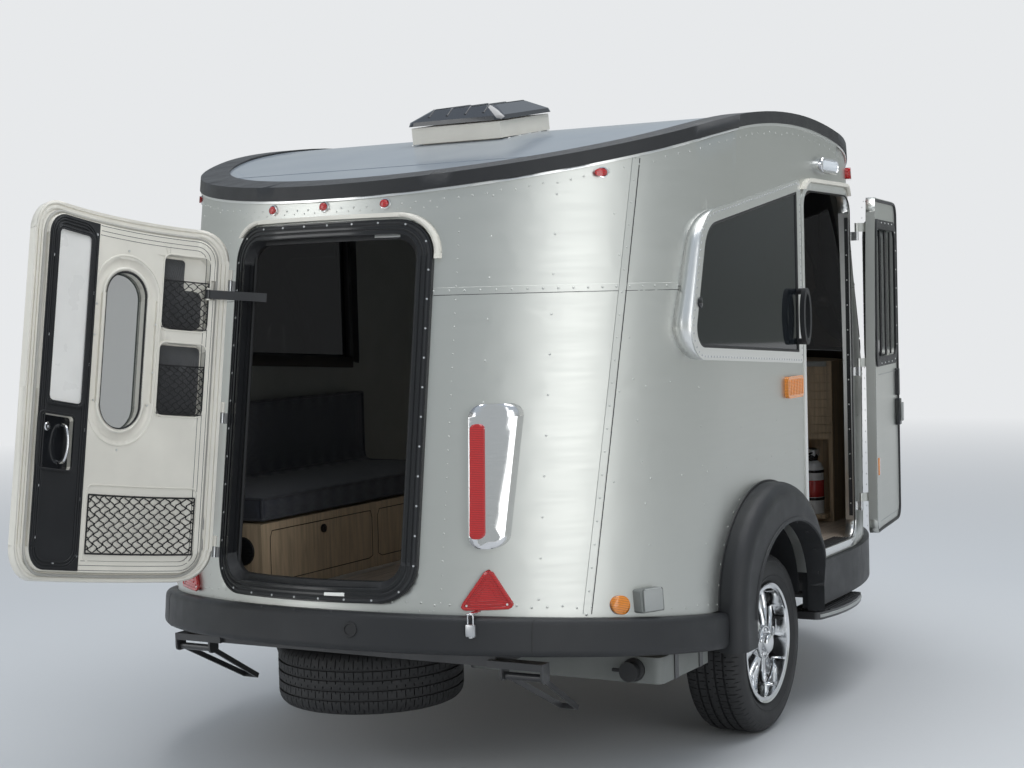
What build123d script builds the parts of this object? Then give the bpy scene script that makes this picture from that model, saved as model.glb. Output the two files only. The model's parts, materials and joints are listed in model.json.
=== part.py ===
from build123d import *
import os
from functools import cache
from math import asin, cos, degrees, hypot, radians, sin, sqrt

# A small riveted teardrop camping trailer, parked on its wheels and its tongue jack, with the
# rear hatch and the side door swung open. Millimetres. X points forward along the tongue, Y to
# the trailer's left, Z up. The origin is the centre of the tow ball under the coupler.

# Running gear
BALL_TO_AXLE = 3330
BALL_HEIGHT = 450
TYRE_RADIUS = 336
TYRE_WIDTH = 222
TYRE_SHOULDER = 26
TYRE_BULGE = 52
TYRE_BEAD_IN = 28
RIM_RADIUS = 218
RIM_LIP = 14
WHEEL_OUTER_FACE = 1050
SPOKE_PAIRS = 6
SPOKE_SWEEP = 16
SPOKE_BOW = 4
SPOKE_THICK = 26
SPOKE_FACE = 30
SPOKE_DISH = 34
HUB_FACE = 26
HUB_CONE = 14
HUB_BACK = 10
CAP_FACE = 16
CAP_DEEP = 26
RIM_WALL = 14
RIM_SEAT = 22
HUB_RADIUS = 62
SPINDLE_RADIUS = 20
RUNNING_GAP = 2
AXLE_TUBE = 70
AXLE_FORWARD = 150
AXLE_HEIGHT = 400
DRUM_RADIUS = 125

# Body shell: straight sides, a half ellipse round the leaning rear, another round the nose
HALF_WIDTH = 1067
WALL = 38
BODY_BOTTOM = 550
FLOOR_TOP = 612
BODY_TOP = 2450
REAR_LEVEL = 600
REAR_START = -528
REAR_DEPTH = 995
REAR_LEAN = 0.15
NOSE_START = 800
NOSE_LEVEL = 1300
NOSE_REACH = 1420
NOSE_TUCK = 75
NOSE_TOP_REACH = 672
SEAM_X = -1128
SEAM_Z = 616
SEAM_LEAN = 0.2116
NOSE_SEAM_X = 1250

# Roof line: a straight tail, then one arc up to the peak and one down to the nose
PEAK_X = 330
PEAK_Z = 2335
REAR_ROOF_RADIUS = 3770
REAR_ROOF_SWEEP = 13.5
FRONT_ROOF_RADIUS = 3000
FRONT_ROOF_SWEEP = 17
ROOF_TAIL = 1300
ROOF_BROW = 1400
ROOF_RECESS = 7
TRIM_HEIGHT = 44
TRIM_PROUD = 12
TRIM_WIDTH = 95
GUTTER_HEIGHT = 9
GUTTER_PROUD = 8

# Side windows, by the outline of their riveted flange, seen from the side
WINDOW_FRONT = 350
WINDOW_FOOT = 1373
WINDOW_FLANGE = 42
WINDOW_PROUD = 5
PANE = 6

# Side door and rear hatch
DOOR_REAR = 385
DOOR_FRONT = 985
DOOR_HEAD = 2050
DOOR_CORNER = 70
DOOR_FRAME = 28
DOOR_GAP = 5
DOOR_OPEN = 187
HINGE_SIDE_OUT = 18
HATCH_HALF_WIDTH = 400
HATCH_FOOT = 680
HATCH_HEAD = 1920
HATCH_CORNER = 120
HATCH_FRAME_FACE = 48
HATCH_STOP = 17
HATCH_STOP_BACK = 12
HATCH_FRAME_LAP = 20
HATCH_FRAME_PROUD = 14
LEAF_HALF_WIDTH = 392
LEAF_FOOT = 712
LEAF_HEAD = 1900
LEAF_CORNER = 105
LEAF_THICK = 30
LEAF_CLEAR = 6
HATCH_OPEN = 101
HINGE_OUT = 36

# Lower body
BUMPER_PROUD = 38
BUMPER_HEIGHT = 126
BUMPER_SLOPE = 6.6
BUMPER_END_TOP = 543
BUMPER_ROUND = 24
SKIRT_PROUD = 26
SKIRT_BOTTOM = 405
FLARE_PROUD = 88
FLARE_FOOT = 400
FLARE_ROUND = 55
WELL_INBOARD = 755
WELL_SKIN = 6
WELL_FOOT = 470

# Chassis, jack and stands
RAIL_Y = 550
RAIL_WIDTH = 50
RAIL_HEIGHT = 100
CHASSIS_BOTTOM = 450
CHASSIS_REAR = -1250
TONGUE_ROOT = 1250
TONGUE_TIP = 3190
TONGUE_TIP_Y = 62
JACK_X = 2960
JACK_FOOT = 170
JACK_FOOT_THICK = 12
JACK_TRAVEL = 300
JACK_PLATE = 160
JACK_TUBE = 28
JACK_WALL = 4
JACK_TUBE_FOOT = 330
JACK_TUBE_LENGTH = 680
JACK_COLLAR = 10
STAND_X = -1240
STAND_Z = 425
STAND_Y = 677
STAND_LENGTH = 350
STAND_ANGLE = 28
STAND_TUBE_LENGTH = 136
STAND_TIP = 34
STAND_RIM = 9
STAND_PLAY = 3
PIN_RADIUS = 6
PIN_CLEAR = 0.5
EAR = 8
SPARE_X = -900
SPARE_Y = 150
SPARE_BOTTOM = 218
SPARE_DISC = 40
SPARE_BOLT = 12
SPARE_WASHER = 80

# Tank and step
TANK_X = -640
TANK_LENGTH = 420
TANK_WIDTH = 755
TANK_INSET = 83
TANK_BOTTOM = 344
TANK_HEIGHT = 90
STEP_REAR = 420
STEP_FRONT = 950
STEP_REACH = 63
STEP_BOW = 38
STEP_CORNER = 30
STEP_INBOARD = 107
STEP_BOTTOM = 352
STEP_THICK = 30

# Roof vent
VENT_X = -250
VENT_SIZE = 390
VENT_HOLE = 340
VENT_BASE = 62
VENT_SEAL = 6
VENT_CORNER = 30
# The lid's dome, as heights above the seal and sizes there
VENT_DOME = [(0, VENT_SIZE + 30), (16, VENT_SIZE + 20), (54, VENT_SIZE - 110)]

os.makedirs("parts", exist_ok=True)

# Every plane is set from the ground point under the axle, so heights read from the ground.
TRAILER = Plane(origin=(-BALL_TO_AXLE, 0, -BALL_HEIGHT))


def level(height):
    """A horizontal plane, seen from above."""
    return TRAILER.offset(height)


def side(y):
    """An upright plane along the trailer, seen from its right: x forward, y up."""
    return Plane(origin=(-BALL_TO_AXLE, y, -BALL_HEIGHT), x_dir=(1, 0, 0), z_dir=(0, -1, 0))


def across(x):
    """An upright plane across the trailer, facing forward: x to the left, y up."""
    return Plane(origin=(x - BALL_TO_AXLE, 0, -BALL_HEIGHT), x_dir=(0, 1, 0), z_dir=(1, 0, 0))


def place(x, y, z):
    """A point of the trailer, from the ground under the axle."""
    return (x - BALL_TO_AXLE, y, z - BALL_HEIGHT)


def rear_start(height):
    """Where the rear ellipse has its centre at a height."""
    return REAR_START + REAR_LEAN * (height - REAR_LEVEL)


def nose_reach(height):
    """How far the nose ellipse reaches ahead of NOSE_START at a height."""
    if height < NOSE_LEVEL:
        foot = (NOSE_LEVEL - height) / (NOSE_LEVEL - BODY_BOTTOM)
        return NOSE_REACH - NOSE_TUCK * foot
    return NOSE_REACH - (NOSE_REACH - NOSE_TOP_REACH) * (height - NOSE_LEVEL) / (BODY_TOP - NOSE_LEVEL)


def wall_x(y, height, grow=0):
    """The rear wall's x at a y and a height, grown outwards by grow."""
    return rear_start(height) - (REAR_DEPTH + grow) * sqrt(1 - (y / (HALF_WIDTH + grow)) ** 2)


def plan_shape(height, grow):
    """The body's plan at a height, grown outwards by grow."""
    with BuildSketch() as section:
        with BuildLine():
            tail = rear_start(height)
            half = HALF_WIDTH + grow
            EllipticalCenterArc((tail, 0), REAR_DEPTH + grow, half, 90, arc_size=180)
            Line((tail, -half), (NOSE_START, -half))
            EllipticalCenterArc((NOSE_START, 0), nose_reach(height) + grow, half, -90, arc_size=180)
            Line((NOSE_START, half), (tail, half))
        make_face()
    return section.sketch


@cache
def body_solid(grow):
    """The whole body as one block, grown outwards by grow."""
    with BuildPart() as block:
        for height in (BODY_BOTTOM, NOSE_LEVEL, BODY_TOP):
            with BuildSketch(level(height)):
                add(plan_shape(height, grow))
        loft(ruled=True)
    return block.part


@cache
def roof_solid(drop):
    """Everything under the roof line, lowered by drop."""
    half = 2 * HALF_WIDTH
    with BuildPart() as block:
        with BuildSketch(side(half / 2 + TRIM_PROUD + WALL)):
            with BuildLine():
                rear = CenterArc(
                    (PEAK_X, PEAK_Z - REAR_ROOF_RADIUS), REAR_ROOF_RADIUS - drop, 90, REAR_ROOF_SWEEP
                )
                tail = Line(rear @ 1, rear @ 1 + (rear % 1) * ROOF_TAIL)
                front = CenterArc(
                    (PEAK_X, PEAK_Z - FRONT_ROOF_RADIUS), FRONT_ROOF_RADIUS - drop, 90, -FRONT_ROOF_SWEEP
                )
                brow = Line(front @ 1, front @ 1 + (front % 1) * ROOF_BROW)
                Polyline(tail @ 1, ((tail @ 1).X, 0), ((brow @ 1).X, 0), brow @ 1)
            make_face()
        extrude(amount=half + 2 * (TRIM_PROUD + WALL))
    return block.part


def roof_top(x):
    """The roof line's height at an x, and its slope in degrees, up to the front."""
    radius = REAR_ROOF_RADIUS if x < PEAK_X else FRONT_ROOF_RADIUS
    return PEAK_Z - radius + sqrt(radius**2 - (x - PEAK_X) ** 2), degrees(asin((PEAK_X - x) / radius))


def band(outer, inner, upper, lower):
    """A skin between two growths of the body and two drops of the roof line."""
    with BuildPart() as skin:
        add(body_solid(outer))
        add(body_solid(inner), mode=Mode.SUBTRACT)
        add(roof_solid(upper), mode=Mode.INTERSECT)
        if lower is not None:
            add(roof_solid(lower), mode=Mode.SUBTRACT)
    return skin.part


def save(piece, label):
    piece.part.label = label
    export_step(piece.part, f"parts/{label}.step")


def rounded_outline(low_x, low_y, high_x, high_y, radius, mode=Mode.ADD):
    """A face with rounded corners in the current sketch."""
    with Locations(((low_x + high_x) / 2, (low_y + high_y) / 2)):
        RectangleRounded(high_x - low_x, high_y - low_y, radius, mode=mode)


def panel(low_x, low_y, high_x, high_y, radius):
    """A sketch of its own with rounded corners."""
    with BuildSketch() as shape:
        rounded_outline(low_x, low_y, high_x, high_y, radius)
    return shape.sketch


def disc(x, y, radius_x, radius_y):
    """A sketch of its own with an ellipse or a circle."""
    with BuildSketch() as shape:
        with Locations((x, y)):
            Ellipse(radius_x, radius_y)
    return shape.sketch


def skin(plane, depth, outline, outer, inner, hole=None):
    """An outline driven through the body from a plane, kept between two growths of the body."""
    with BuildPart() as piece:
        with BuildSketch(plane):
            add(outline)
            if hole is not None:
                add(hole, mode=Mode.SUBTRACT)
        extrude(amount=depth)
        add(body_solid(outer), mode=Mode.INTERSECT)
        add(body_solid(inner), mode=Mode.SUBTRACT)
    return piece.part


def rear_skin(outline, outer, inner, hole=None):
    """An outline seen along the rear wall, y to the left, between two growths of the body."""
    return skin(across(SEAM_X - REAR_DEPTH), REAR_DEPTH - SEAM_X, outline, outer, inner, hole)


def side_skin(outline, outer, inner, hole=None):
    """An outline seen from the right, x forward, between two growths of the body."""
    return skin(side(0), 2 * HALF_WIDTH, outline, outer, inner, hole)


# The side window's outline, with a corner radius at each point: x, z, radius
WINDOW_CORNERS = [
    (WINDOW_FRONT, WINDOW_FOOT, 24),
    (WINDOW_FRONT, 2088, 24),
    (-618, 1922, 170),
    (-768, 1432, 110),
]


def window_shape(inset):
    """The side window's outline drawn in by inset."""
    with BuildSketch() as shape:
        with BuildLine():
            FilletPolyline(
                [(x, z) for x, z, radius in WINDOW_CORNERS],
                radius=[radius for x, z, radius in WINDOW_CORNERS],
                close=True,
            )
        make_face()
        if inset:
            offset(amount=-inset, kind=Kind.INTERSECTION)
    return shape.sketch


def wheel_arch(center_x, center_z, half_x, half_z, foot):
    """A wheel arch: an elliptic head on two upright legs."""
    with BuildSketch() as shape:
        with BuildLine():
            EllipticalCenterArc((center_x, center_z), half_x, half_z, 0, arc_size=180)
            Polyline(
                (center_x - half_x, center_z),
                (center_x - half_x, foot),
                (center_x + half_x, foot),
                (center_x + half_x, center_z),
            )
        make_face()
    return shape.sketch


# Wheel arch edges: centre x, centre z, half width, head height
ARCH_OPENING = (-20, 500, 380, 300)
ARCH_EDGE = (-83, 550, 457, 402)

REAR_SEAM = Plane(origin=place(SEAM_X, 0, SEAM_Z), x_dir=(0, 1, 0), z_dir=(1, 0, -SEAM_LEAN))
NOSE_SEAM = across(NOSE_SEAM_X)
WALLS = band(0, -WALL, TRIM_HEIGHT, None)


def hatch_edge(inset):
    """The hatch frame's outline drawn in by inset."""
    half = HATCH_HALF_WIDTH - inset
    return panel(-half, HATCH_FOOT + inset, half, HATCH_HEAD - inset, HATCH_CORNER - 0.8 * inset)


# Rear wall, with the hatch cut through it
with BuildPart() as rear_wall:
    add(WALLS)
    split(bisect_by=REAR_SEAM, keep=Keep.BOTTOM)
    with BuildSketch(across(SEAM_X - REAR_DEPTH)):
        add(hatch_edge(HATCH_FRAME_LAP))
    extrude(amount=REAR_DEPTH, mode=Mode.SUBTRACT)
save(rear_wall, "rear_wall")


def side_wall(keep):
    """One side wall, with its window and wheel arch cut."""
    with BuildPart() as wall:
        add(WALLS)
        split(bisect_by=REAR_SEAM, keep=Keep.TOP)
        split(bisect_by=NOSE_SEAM, keep=Keep.BOTTOM)
        split(bisect_by=Plane.XZ, keep=keep)
        with BuildSketch(side(-2 * HALF_WIDTH)):
            add(window_shape(WINDOW_FLANGE - 7))
        extrude(amount=-4 * HALF_WIDTH, mode=Mode.SUBTRACT)
        with BuildSketch(side(-2 * HALF_WIDTH)):
            add(wheel_arch(*ARCH_OPENING, FLARE_FOOT))
        extrude(amount=-4 * HALF_WIDTH, mode=Mode.SUBTRACT)
    return wall.part


# Right wall, with the side door cut through it
with BuildPart() as right_wall:
    add(side_wall(Keep.TOP))
    with BuildSketch(side(0)):
        lap = DOOR_FRAME
        rounded_outline(
            DOOR_REAR - lap, FLOOR_TOP - lap, DOOR_FRONT + lap, DOOR_HEAD + lap, DOOR_CORNER + lap
        )
    extrude(amount=2 * HALF_WIDTH, mode=Mode.SUBTRACT)
save(right_wall, "right_wall")

with BuildPart() as left_wall:
    add(side_wall(Keep.BOTTOM))
save(left_wall, "left_wall")

# Nose: the riveted panel below, and the window frame moulding above it
with BuildPart() as nose_lower:
    add(WALLS)
    split(bisect_by=NOSE_SEAM, keep=Keep.TOP)
    split(bisect_by=level(NOSE_LEVEL), keep=Keep.BOTTOM)
save(nose_lower, "nose_lower")

# Windscreen panes across the nose, seen from the front: low y, high y, head at low y, head at high y
WINDSCREEN = [
    (-960, -395, 2040, 1945),
    (-345, 345, 1925, 1925),
    (395, 960, 1945, 2040),
]
WINDSCREEN_FOOT = 1375
PANE_CORNER = 60
PANE_FIT = 1


def windscreen_shape(inset):
    """The windscreen panes' outlines drawn in by inset."""
    with BuildSketch() as shapes:
        for low, high, head_low, head_high in WINDSCREEN:
            with BuildLine():
                FilletPolyline(
                    (low, WINDSCREEN_FOOT),
                    (high, WINDSCREEN_FOOT),
                    (high, head_high),
                    (low, head_low),
                    radius=PANE_CORNER,
                    close=True,
                )
            make_face()
        if inset:
            offset(amount=-inset, kind=Kind.INTERSECTION)
    return shapes.sketch


with BuildPart() as nose_upper:
    add(WALLS)
    split(bisect_by=NOSE_SEAM, keep=Keep.TOP)
    split(bisect_by=level(NOSE_LEVEL), keep=Keep.TOP)
    with BuildSketch(NOSE_SEAM.offset(60)):
        add(windscreen_shape(0))
    extrude(amount=2 * NOSE_REACH, mode=Mode.SUBTRACT)
save(nose_upper, "nose_upper")

with BuildPart() as windscreen_panes:
    with BuildSketch(NOSE_SEAM.offset(60)):
        add(windscreen_shape(PANE_FIT))
    extrude(amount=2 * NOSE_REACH)
    add(body_solid(-PANE), mode=Mode.INTERSECT)
    add(body_solid(-2 * PANE), mode=Mode.SUBTRACT)
save(windscreen_panes, "windscreen_panes")

# Roof panel, pierced under the vent; its black edge trim; the bright gutter rail under that
vent_top, vent_slope = roof_top(VENT_X)
VENT_PLANE = Plane(
    origin=place(VENT_X, 0, vent_top - ROOF_RECESS),
    x_dir=(cos(radians(vent_slope)), 0, sin(radians(vent_slope))),
    z_dir=(-sin(radians(vent_slope)), 0, cos(radians(vent_slope))),
)
with BuildPart() as roof_panel:
    add(body_solid(0))
    add(roof_solid(ROOF_RECESS), mode=Mode.INTERSECT)
    add(roof_solid(TRIM_HEIGHT), mode=Mode.SUBTRACT)
    with BuildSketch(VENT_PLANE.offset(-2 * TRIM_HEIGHT)):
        Rectangle(VENT_HOLE, VENT_HOLE)
    extrude(amount=4 * TRIM_HEIGHT, mode=Mode.SUBTRACT)
save(roof_panel, "roof_panel")

with BuildPart() as roof_edge_trim:
    add(band(TRIM_PROUD, 0, 0, TRIM_HEIGHT))
    add(band(0, -TRIM_WIDTH, 0, ROOF_RECESS))
save(roof_edge_trim, "roof_edge_trim")

with BuildPart() as gutter_rail:
    add(band(GUTTER_PROUD, 0, TRIM_HEIGHT, TRIM_HEIGHT + GUTTER_HEIGHT))
save(gutter_rail, "gutter_rail")

# Floor, notched round the wheel wells
with BuildPart() as floor_panel:
    for height in (BODY_BOTTOM, FLOOR_TOP):
        with BuildSketch(level(height)):
            add(plan_shape(height, -WALL))
    loft(ruled=True)
    center_x, center_z, half_x, half_z = ARCH_OPENING
    for hand in (-1, 1):
        with BuildSketch(level(BODY_BOTTOM)):
            with Locations((center_x, hand * (WELL_INBOARD + HALF_WIDTH) / 2)):
                Rectangle(2 * (half_x + WELL_SKIN), HALF_WIDTH - WELL_INBOARD)
        extrude(amount=FLOOR_TOP - BODY_BOTTOM, mode=Mode.SUBTRACT)
save(floor_panel, "floor_panel")

with BuildPart() as wheel_wells:
    center_x, center_z, half_x, half_z = ARCH_OPENING
    with BuildSketch(side(-WELL_INBOARD)):
        add(wheel_arch(center_x, center_z, half_x + WELL_SKIN, half_z + WELL_SKIN, WELL_FOOT))
    extrude(amount=HALF_WIDTH - WALL - WELL_INBOARD)
    with BuildSketch(side(-WELL_INBOARD - WELL_SKIN)):
        add(wheel_arch(*ARCH_OPENING, FLARE_FOOT))
    extrude(amount=HALF_WIDTH - WALL - WELL_INBOARD, mode=Mode.SUBTRACT)
    mirror(about=Plane.XZ)
save(wheel_wells, "wheel_wells")

with BuildPart() as wheel_flares:
    with BuildSketch(side(-HALF_WIDTH)):
        add(wheel_arch(*ARCH_EDGE, FLARE_FOOT))
    extrude(amount=FLARE_PROUD)
    crown = faces().sort_by(Axis.Y)[0].edges().sort_by(Axis.Z)[-1]
    fillet(crown, radius=FLARE_ROUND)
    with BuildSketch(side(-HALF_WIDTH)):
        add(wheel_arch(*ARCH_OPENING, FLARE_FOOT))
    extrude(amount=FLARE_PROUD, mode=Mode.SUBTRACT)
    mirror(about=Plane.XZ)
save(wheel_flares, "wheel_flares")

# Rear bumper, a hoop on a plane that rises to the rear, seated on the wall
BUMPER_PLANE = Plane(
    origin=place(REAR_START - 12, 0, BUMPER_END_TOP),
    x_dir=(cos(radians(BUMPER_SLOPE)), 0, -sin(radians(BUMPER_SLOPE))),
    z_dir=(sin(radians(BUMPER_SLOPE)), 0, cos(radians(BUMPER_SLOPE))),
)


def half_hoop(grow):
    """The rear half ellipse of the body's plan, grown outwards by grow."""
    with BuildSketch() as shape:
        with BuildLine():
            EllipticalCenterArc((0, 0), REAR_DEPTH + grow, HALF_WIDTH + grow, 90, arc_size=180)
            Line((0, -HALF_WIDTH - grow), (0, HALF_WIDTH + grow))
        make_face()
    return shape.sketch


with BuildPart() as rear_bumper:
    with BuildSketch(BUMPER_PLANE):
        add(half_hoop(BUMPER_PROUD))
    extrude(amount=-BUMPER_HEIGHT)
    rim = edges().filter_by(GeomType.ELLIPSE)
    fillet(rim, radius=BUMPER_ROUND)
    with BuildSketch(BUMPER_PLANE.offset(-BUMPER_HEIGHT)):
        add(half_hoop(-BUMPER_PROUD))
    extrude(amount=2 * BUMPER_HEIGHT, mode=Mode.SUBTRACT)
    add(body_solid(0), mode=Mode.SUBTRACT)
save(rear_bumper, "rear_bumper")

# Side windows: the riveted flange on the wall, and the pane inside it
with BuildPart() as window_flanges:
    with BuildSketch(side(-HALF_WIDTH)):
        add(window_shape(0))
    extrude(amount=WINDOW_PROUD)
    with BuildSketch(side(-HALF_WIDTH)):
        add(window_shape(WINDOW_FLANGE))
    extrude(amount=WINDOW_PROUD, mode=Mode.SUBTRACT)
    mirror(about=Plane.XZ)
save(window_flanges, "window_flanges")

with BuildPart() as side_panes:
    with BuildSketch(side(-HALF_WIDTH + PANE)):
        add(window_shape(WINDOW_FLANGE - 6))
    extrude(amount=PANE)
    mirror(about=Plane.XZ)
save(side_panes, "side_panes")

# Hinge knuckles, a tube with a web to the piece that carries it
KNUCKLE_RADIUS = 8
KNUCKLE_LENGTH = 36
KNUCKLE_GAP = 1
KNUCKLE_PIN = 3
KNUCKLE_BORE = 3.5


def knuckles(hinge, heights, toward, reach, lower):
    """Knuckles at heights on a hinge with webs toward a direction; the lower ones hold the pins."""
    with BuildPart() as rolls:
        for height in heights:
            if lower:
                height -= KNUCKLE_LENGTH + KNUCKLE_GAP
            rise = (height - BALL_HEIGHT - hinge.position.Z) / hinge.direction.Z
            spot = Plane(
                origin=hinge.position + hinge.direction * rise, x_dir=toward, z_dir=hinge.direction
            )
            with BuildSketch(spot):
                Circle(KNUCKLE_RADIUS)
                with Locations((reach / 2, 0)):
                    Rectangle(reach, KNUCKLE_RADIUS)
                if not lower:
                    Circle(KNUCKLE_BORE, mode=Mode.SUBTRACT)
            extrude(amount=KNUCKLE_LENGTH)
            if lower:
                with BuildSketch(spot):
                    Circle(KNUCKLE_PIN)
                extrude(amount=2 * KNUCKLE_LENGTH)
    return rolls.part


# Side door frame, the lining of its hole
def door_edge(inset):
    """The side door opening's outline drawn in by inset."""
    return panel(
        DOOR_REAR + inset, FLOOR_TOP + inset, DOOR_FRONT - inset, DOOR_HEAD - inset, DOOR_CORNER - inset
    )


with BuildPart() as side_door_frame:
    add(side_skin(door_edge(-DOOR_FRAME), WINDOW_PROUD, -WALL, door_edge(0)))
save(side_door_frame, "side_door_frame")

# Side door leaf, drawn closed and swung round its front hinge to lie folded back
SIDE_HINGE = Axis(
    origin=place(DOOR_FRONT + 10, -HALF_WIDTH - HINGE_SIDE_OUT, FLOOR_TOP), direction=(0, 0, 1)
)
SIDE_HINGE_HEIGHTS = (760, 1330, 1900)
DOOR_WINDOW = (DOOR_REAR + 75, 1360, DOOR_FRONT - 65, 1920, 50)
WINDOW_TRIM = 34
TRIM_THICK = 8
DOOR_PULL = (DOOR_REAR + 40, 1180, DOOR_REAR + 70, 1300, 10)

with BuildPart() as closed_leaf:
    add(side_skin(door_edge(DOOR_GAP), 0, -WALL, panel(*DOOR_WINDOW)))
    add(knuckles(SIDE_HINGE, SIDE_HINGE_HEIGHTS, (-1, 1, 0), HINGE_SIDE_OUT + 34, False))

with BuildPart() as side_door_leaf:
    add(closed_leaf.part.rotate(SIDE_HINGE, DOOR_OPEN))
save(side_door_leaf, "side_door_leaf")

low_x, low_z, high_x, high_z, corner = DOOR_WINDOW
door_glass = panel(low_x + 1, low_z + 1, high_x - 1, high_z - 1, corner - 1)
with BuildPart() as side_door_pane:
    add(side_skin(door_glass, -PANE, -2 * PANE).rotate(SIDE_HINGE, DOOR_OPEN))
save(side_door_pane, "side_door_pane")

# Black trim round the door's window and the pull below it, on the leaf's inner face
trim_edge = panel(
    low_x - WINDOW_TRIM, low_z - WINDOW_TRIM, high_x + WINDOW_TRIM, high_z + WINDOW_TRIM, corner + 10
)
with BuildPart() as side_door_trim:
    for piece in [
        side_skin(trim_edge, -WALL, -WALL - TRIM_THICK, panel(*DOOR_WINDOW)),
        side_skin(panel(*DOOR_PULL), -WALL, -WALL - 2 * TRIM_THICK),
    ]:
        add(piece.rotate(SIDE_HINGE, DOOR_OPEN))
save(side_door_trim, "side_door_trim")

# Hatch frame: a grooved lining that laps over the rear wall, and the stop flange inside it
FRAME_GROOVES = [(14, 20), (30, 36)]
GROOVE_DEEP = 4
with BuildPart() as hatch_frame:
    opening = hatch_edge(HATCH_FRAME_FACE)
    add(rear_skin(hatch_edge(0), HATCH_FRAME_PROUD, -WALL, opening))
    add(rear_skin(opening, -HATCH_STOP_BACK, -WALL, hatch_edge(HATCH_FRAME_FACE + HATCH_STOP)))
    for start, end in FRAME_GROOVES:
        groove_floor = HATCH_FRAME_PROUD - GROOVE_DEEP
        add(
            rear_skin(hatch_edge(start), HATCH_FRAME_PROUD + 1, groove_floor, hatch_edge(end)),
            mode=Mode.SUBTRACT,
        )
    add(rear_wall.part, mode=Mode.SUBTRACT)
save(hatch_frame, "hatch_frame")

# Hatch leaf: a moulded leaf of the wall's curve that swings round its leaning hinge on the left.
# It is drawn closed. Its inner face has a plug that enters the frame, with a dished oval
# window, two net pockets and a latch box sunk into it.
HINGE_Y = LEAF_HALF_WIDTH + 18
HATCH_HINGE = Axis(
    origin=place(wall_x(HINGE_Y, LEAF_FOOT, HINGE_OUT), HINGE_Y, LEAF_FOOT),
    direction=(REAR_LEAN, 0, 1),
)
LEAF_INNER = HATCH_FRAME_PROUD + LEAF_CLEAR
LEAF_OUTER = LEAF_INNER + LEAF_THICK
LEAF_GROOVES = [(10, 15), (25, 30)]
PLUG_CLEAR = 12
PLUG_DEEP = 14
PLUG_FACE = LEAF_INNER - PLUG_DEEP
OVAL_Y = 8
OVAL_FOOT = 1204
OVAL_HEAD = 1723
OVAL_WIDTH = 166
DISH_WIDE = 40
DISH_DEEP = 8
RING_WIDE = 13
POCKETS = [(150, 1550, 318, 1800), (150, 1262, 318, 1505)]
POCKET_CORNER = 22
POCKET_DEEP = 24
NET_PANEL = (-100, 775, 318, 1020)
NET_PANEL_DEEP = 2
LATCH_BOX = (-332, 1058, -178, 1227)
LATCH_BOX_DEEP = 20
STAY_NOTCH = (285, 1660, 350, 1726)
COVER_EDGE_Y = -120
COVER_THICK = 4
BLIND = (-300, 1265, -150, 1812)
HINGE_HEIGHTS = (830, 1285, 1740)


def leaf_edge(inset):
    """The hatch leaf's outline drawn in by inset."""
    half = LEAF_HALF_WIDTH - inset
    return panel(-half, LEAF_FOOT + inset, half, LEAF_HEAD - inset, LEAF_CORNER - 0.8 * inset)


def plug_edge(inset):
    """The outline of the leaf's plug drawn in by inset."""
    return hatch_edge(HATCH_FRAME_FACE + PLUG_CLEAR + inset)


def oval(grow):
    """The oval window's outline grown by grow."""
    with BuildSketch() as shape:
        with Locations((OVAL_Y, (OVAL_FOOT + OVAL_HEAD) / 2)):
            SlotOverall(OVAL_HEAD - OVAL_FOOT + 2 * grow, OVAL_WIDTH + 2 * grow, rotation=90)
    return shape.sketch


def recess(low_y, low_z, high_y, high_z, corner, deep):
    """What a recess takes out of the leaf's inner face."""
    return rear_skin(panel(low_y, low_z, high_y, high_z, corner), PLUG_FACE + deep, PLUG_FACE - 1)


with BuildPart() as closed_hatch:
    add(rear_skin(leaf_edge(0), LEAF_OUTER, LEAF_INNER))
    add(rear_skin(plug_edge(0), LEAF_INNER, PLUG_FACE))
    for start, end in LEAF_GROOVES:
        add(
            rear_skin(leaf_edge(start), LEAF_INNER + GROOVE_DEEP, LEAF_INNER - 1, leaf_edge(end)),
            mode=Mode.SUBTRACT,
        )
    add(rear_skin(oval(DISH_WIDE), PLUG_FACE + DISH_DEEP, PLUG_FACE - 1), mode=Mode.SUBTRACT)
    add(rear_skin(oval(RING_WIDE), PLUG_FACE + DISH_DEEP, PLUG_FACE - 1))
    add(rear_skin(oval(0), LEAF_OUTER + 1, PLUG_FACE - 2), mode=Mode.SUBTRACT)
    for pocket in POCKETS:
        add(recess(*pocket, POCKET_CORNER, POCKET_DEEP), mode=Mode.SUBTRACT)
    add(recess(*NET_PANEL, POCKET_CORNER, NET_PANEL_DEEP), mode=Mode.SUBTRACT)
    add(recess(*LATCH_BOX, 12, LATCH_BOX_DEEP), mode=Mode.SUBTRACT)
    add(recess(*STAY_NOTCH, 8, PLUG_DEEP), mode=Mode.SUBTRACT)
    add(knuckles(HATCH_HINGE, HINGE_HEIGHTS, (0, -1, 0), HINGE_Y - LEAF_HALF_WIDTH + 6, False))

# Hatch stay: a bar that turns on a pin between two lugs of the open leaf, and slides in the frame
STAY_Z = 1693
STAY_WIDE = 30
STAY_THICK = 8
STAY_LENGTH = 200
STAY_PIVOT = (-1578, 430)
STAY_SLOT = (-1475, 285)
STAY_PIN = 4
STAY_EYE = 9
STAY_LUG = 5
STAY_LUG_REACH = 32
STAY_LUG_TOWARD = (0.472, 0.881, 0)
stay_shift = REAR_LEAN * (STAY_Z - REAR_LEVEL)
stay_pin = place(STAY_PIVOT[0] + stay_shift, STAY_PIVOT[1], STAY_Z)
stay_toward = (STAY_SLOT[0] - STAY_PIVOT[0], STAY_SLOT[1] - STAY_PIVOT[1], 0)


def stay_plane(toward):
    """The lower face of the stay, square to the hatch hinge, with its x axis near toward."""
    return Plane(origin=stay_pin, x_dir=toward, z_dir=HATCH_HINGE.direction).offset(-STAY_WIDE / 2)



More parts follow.
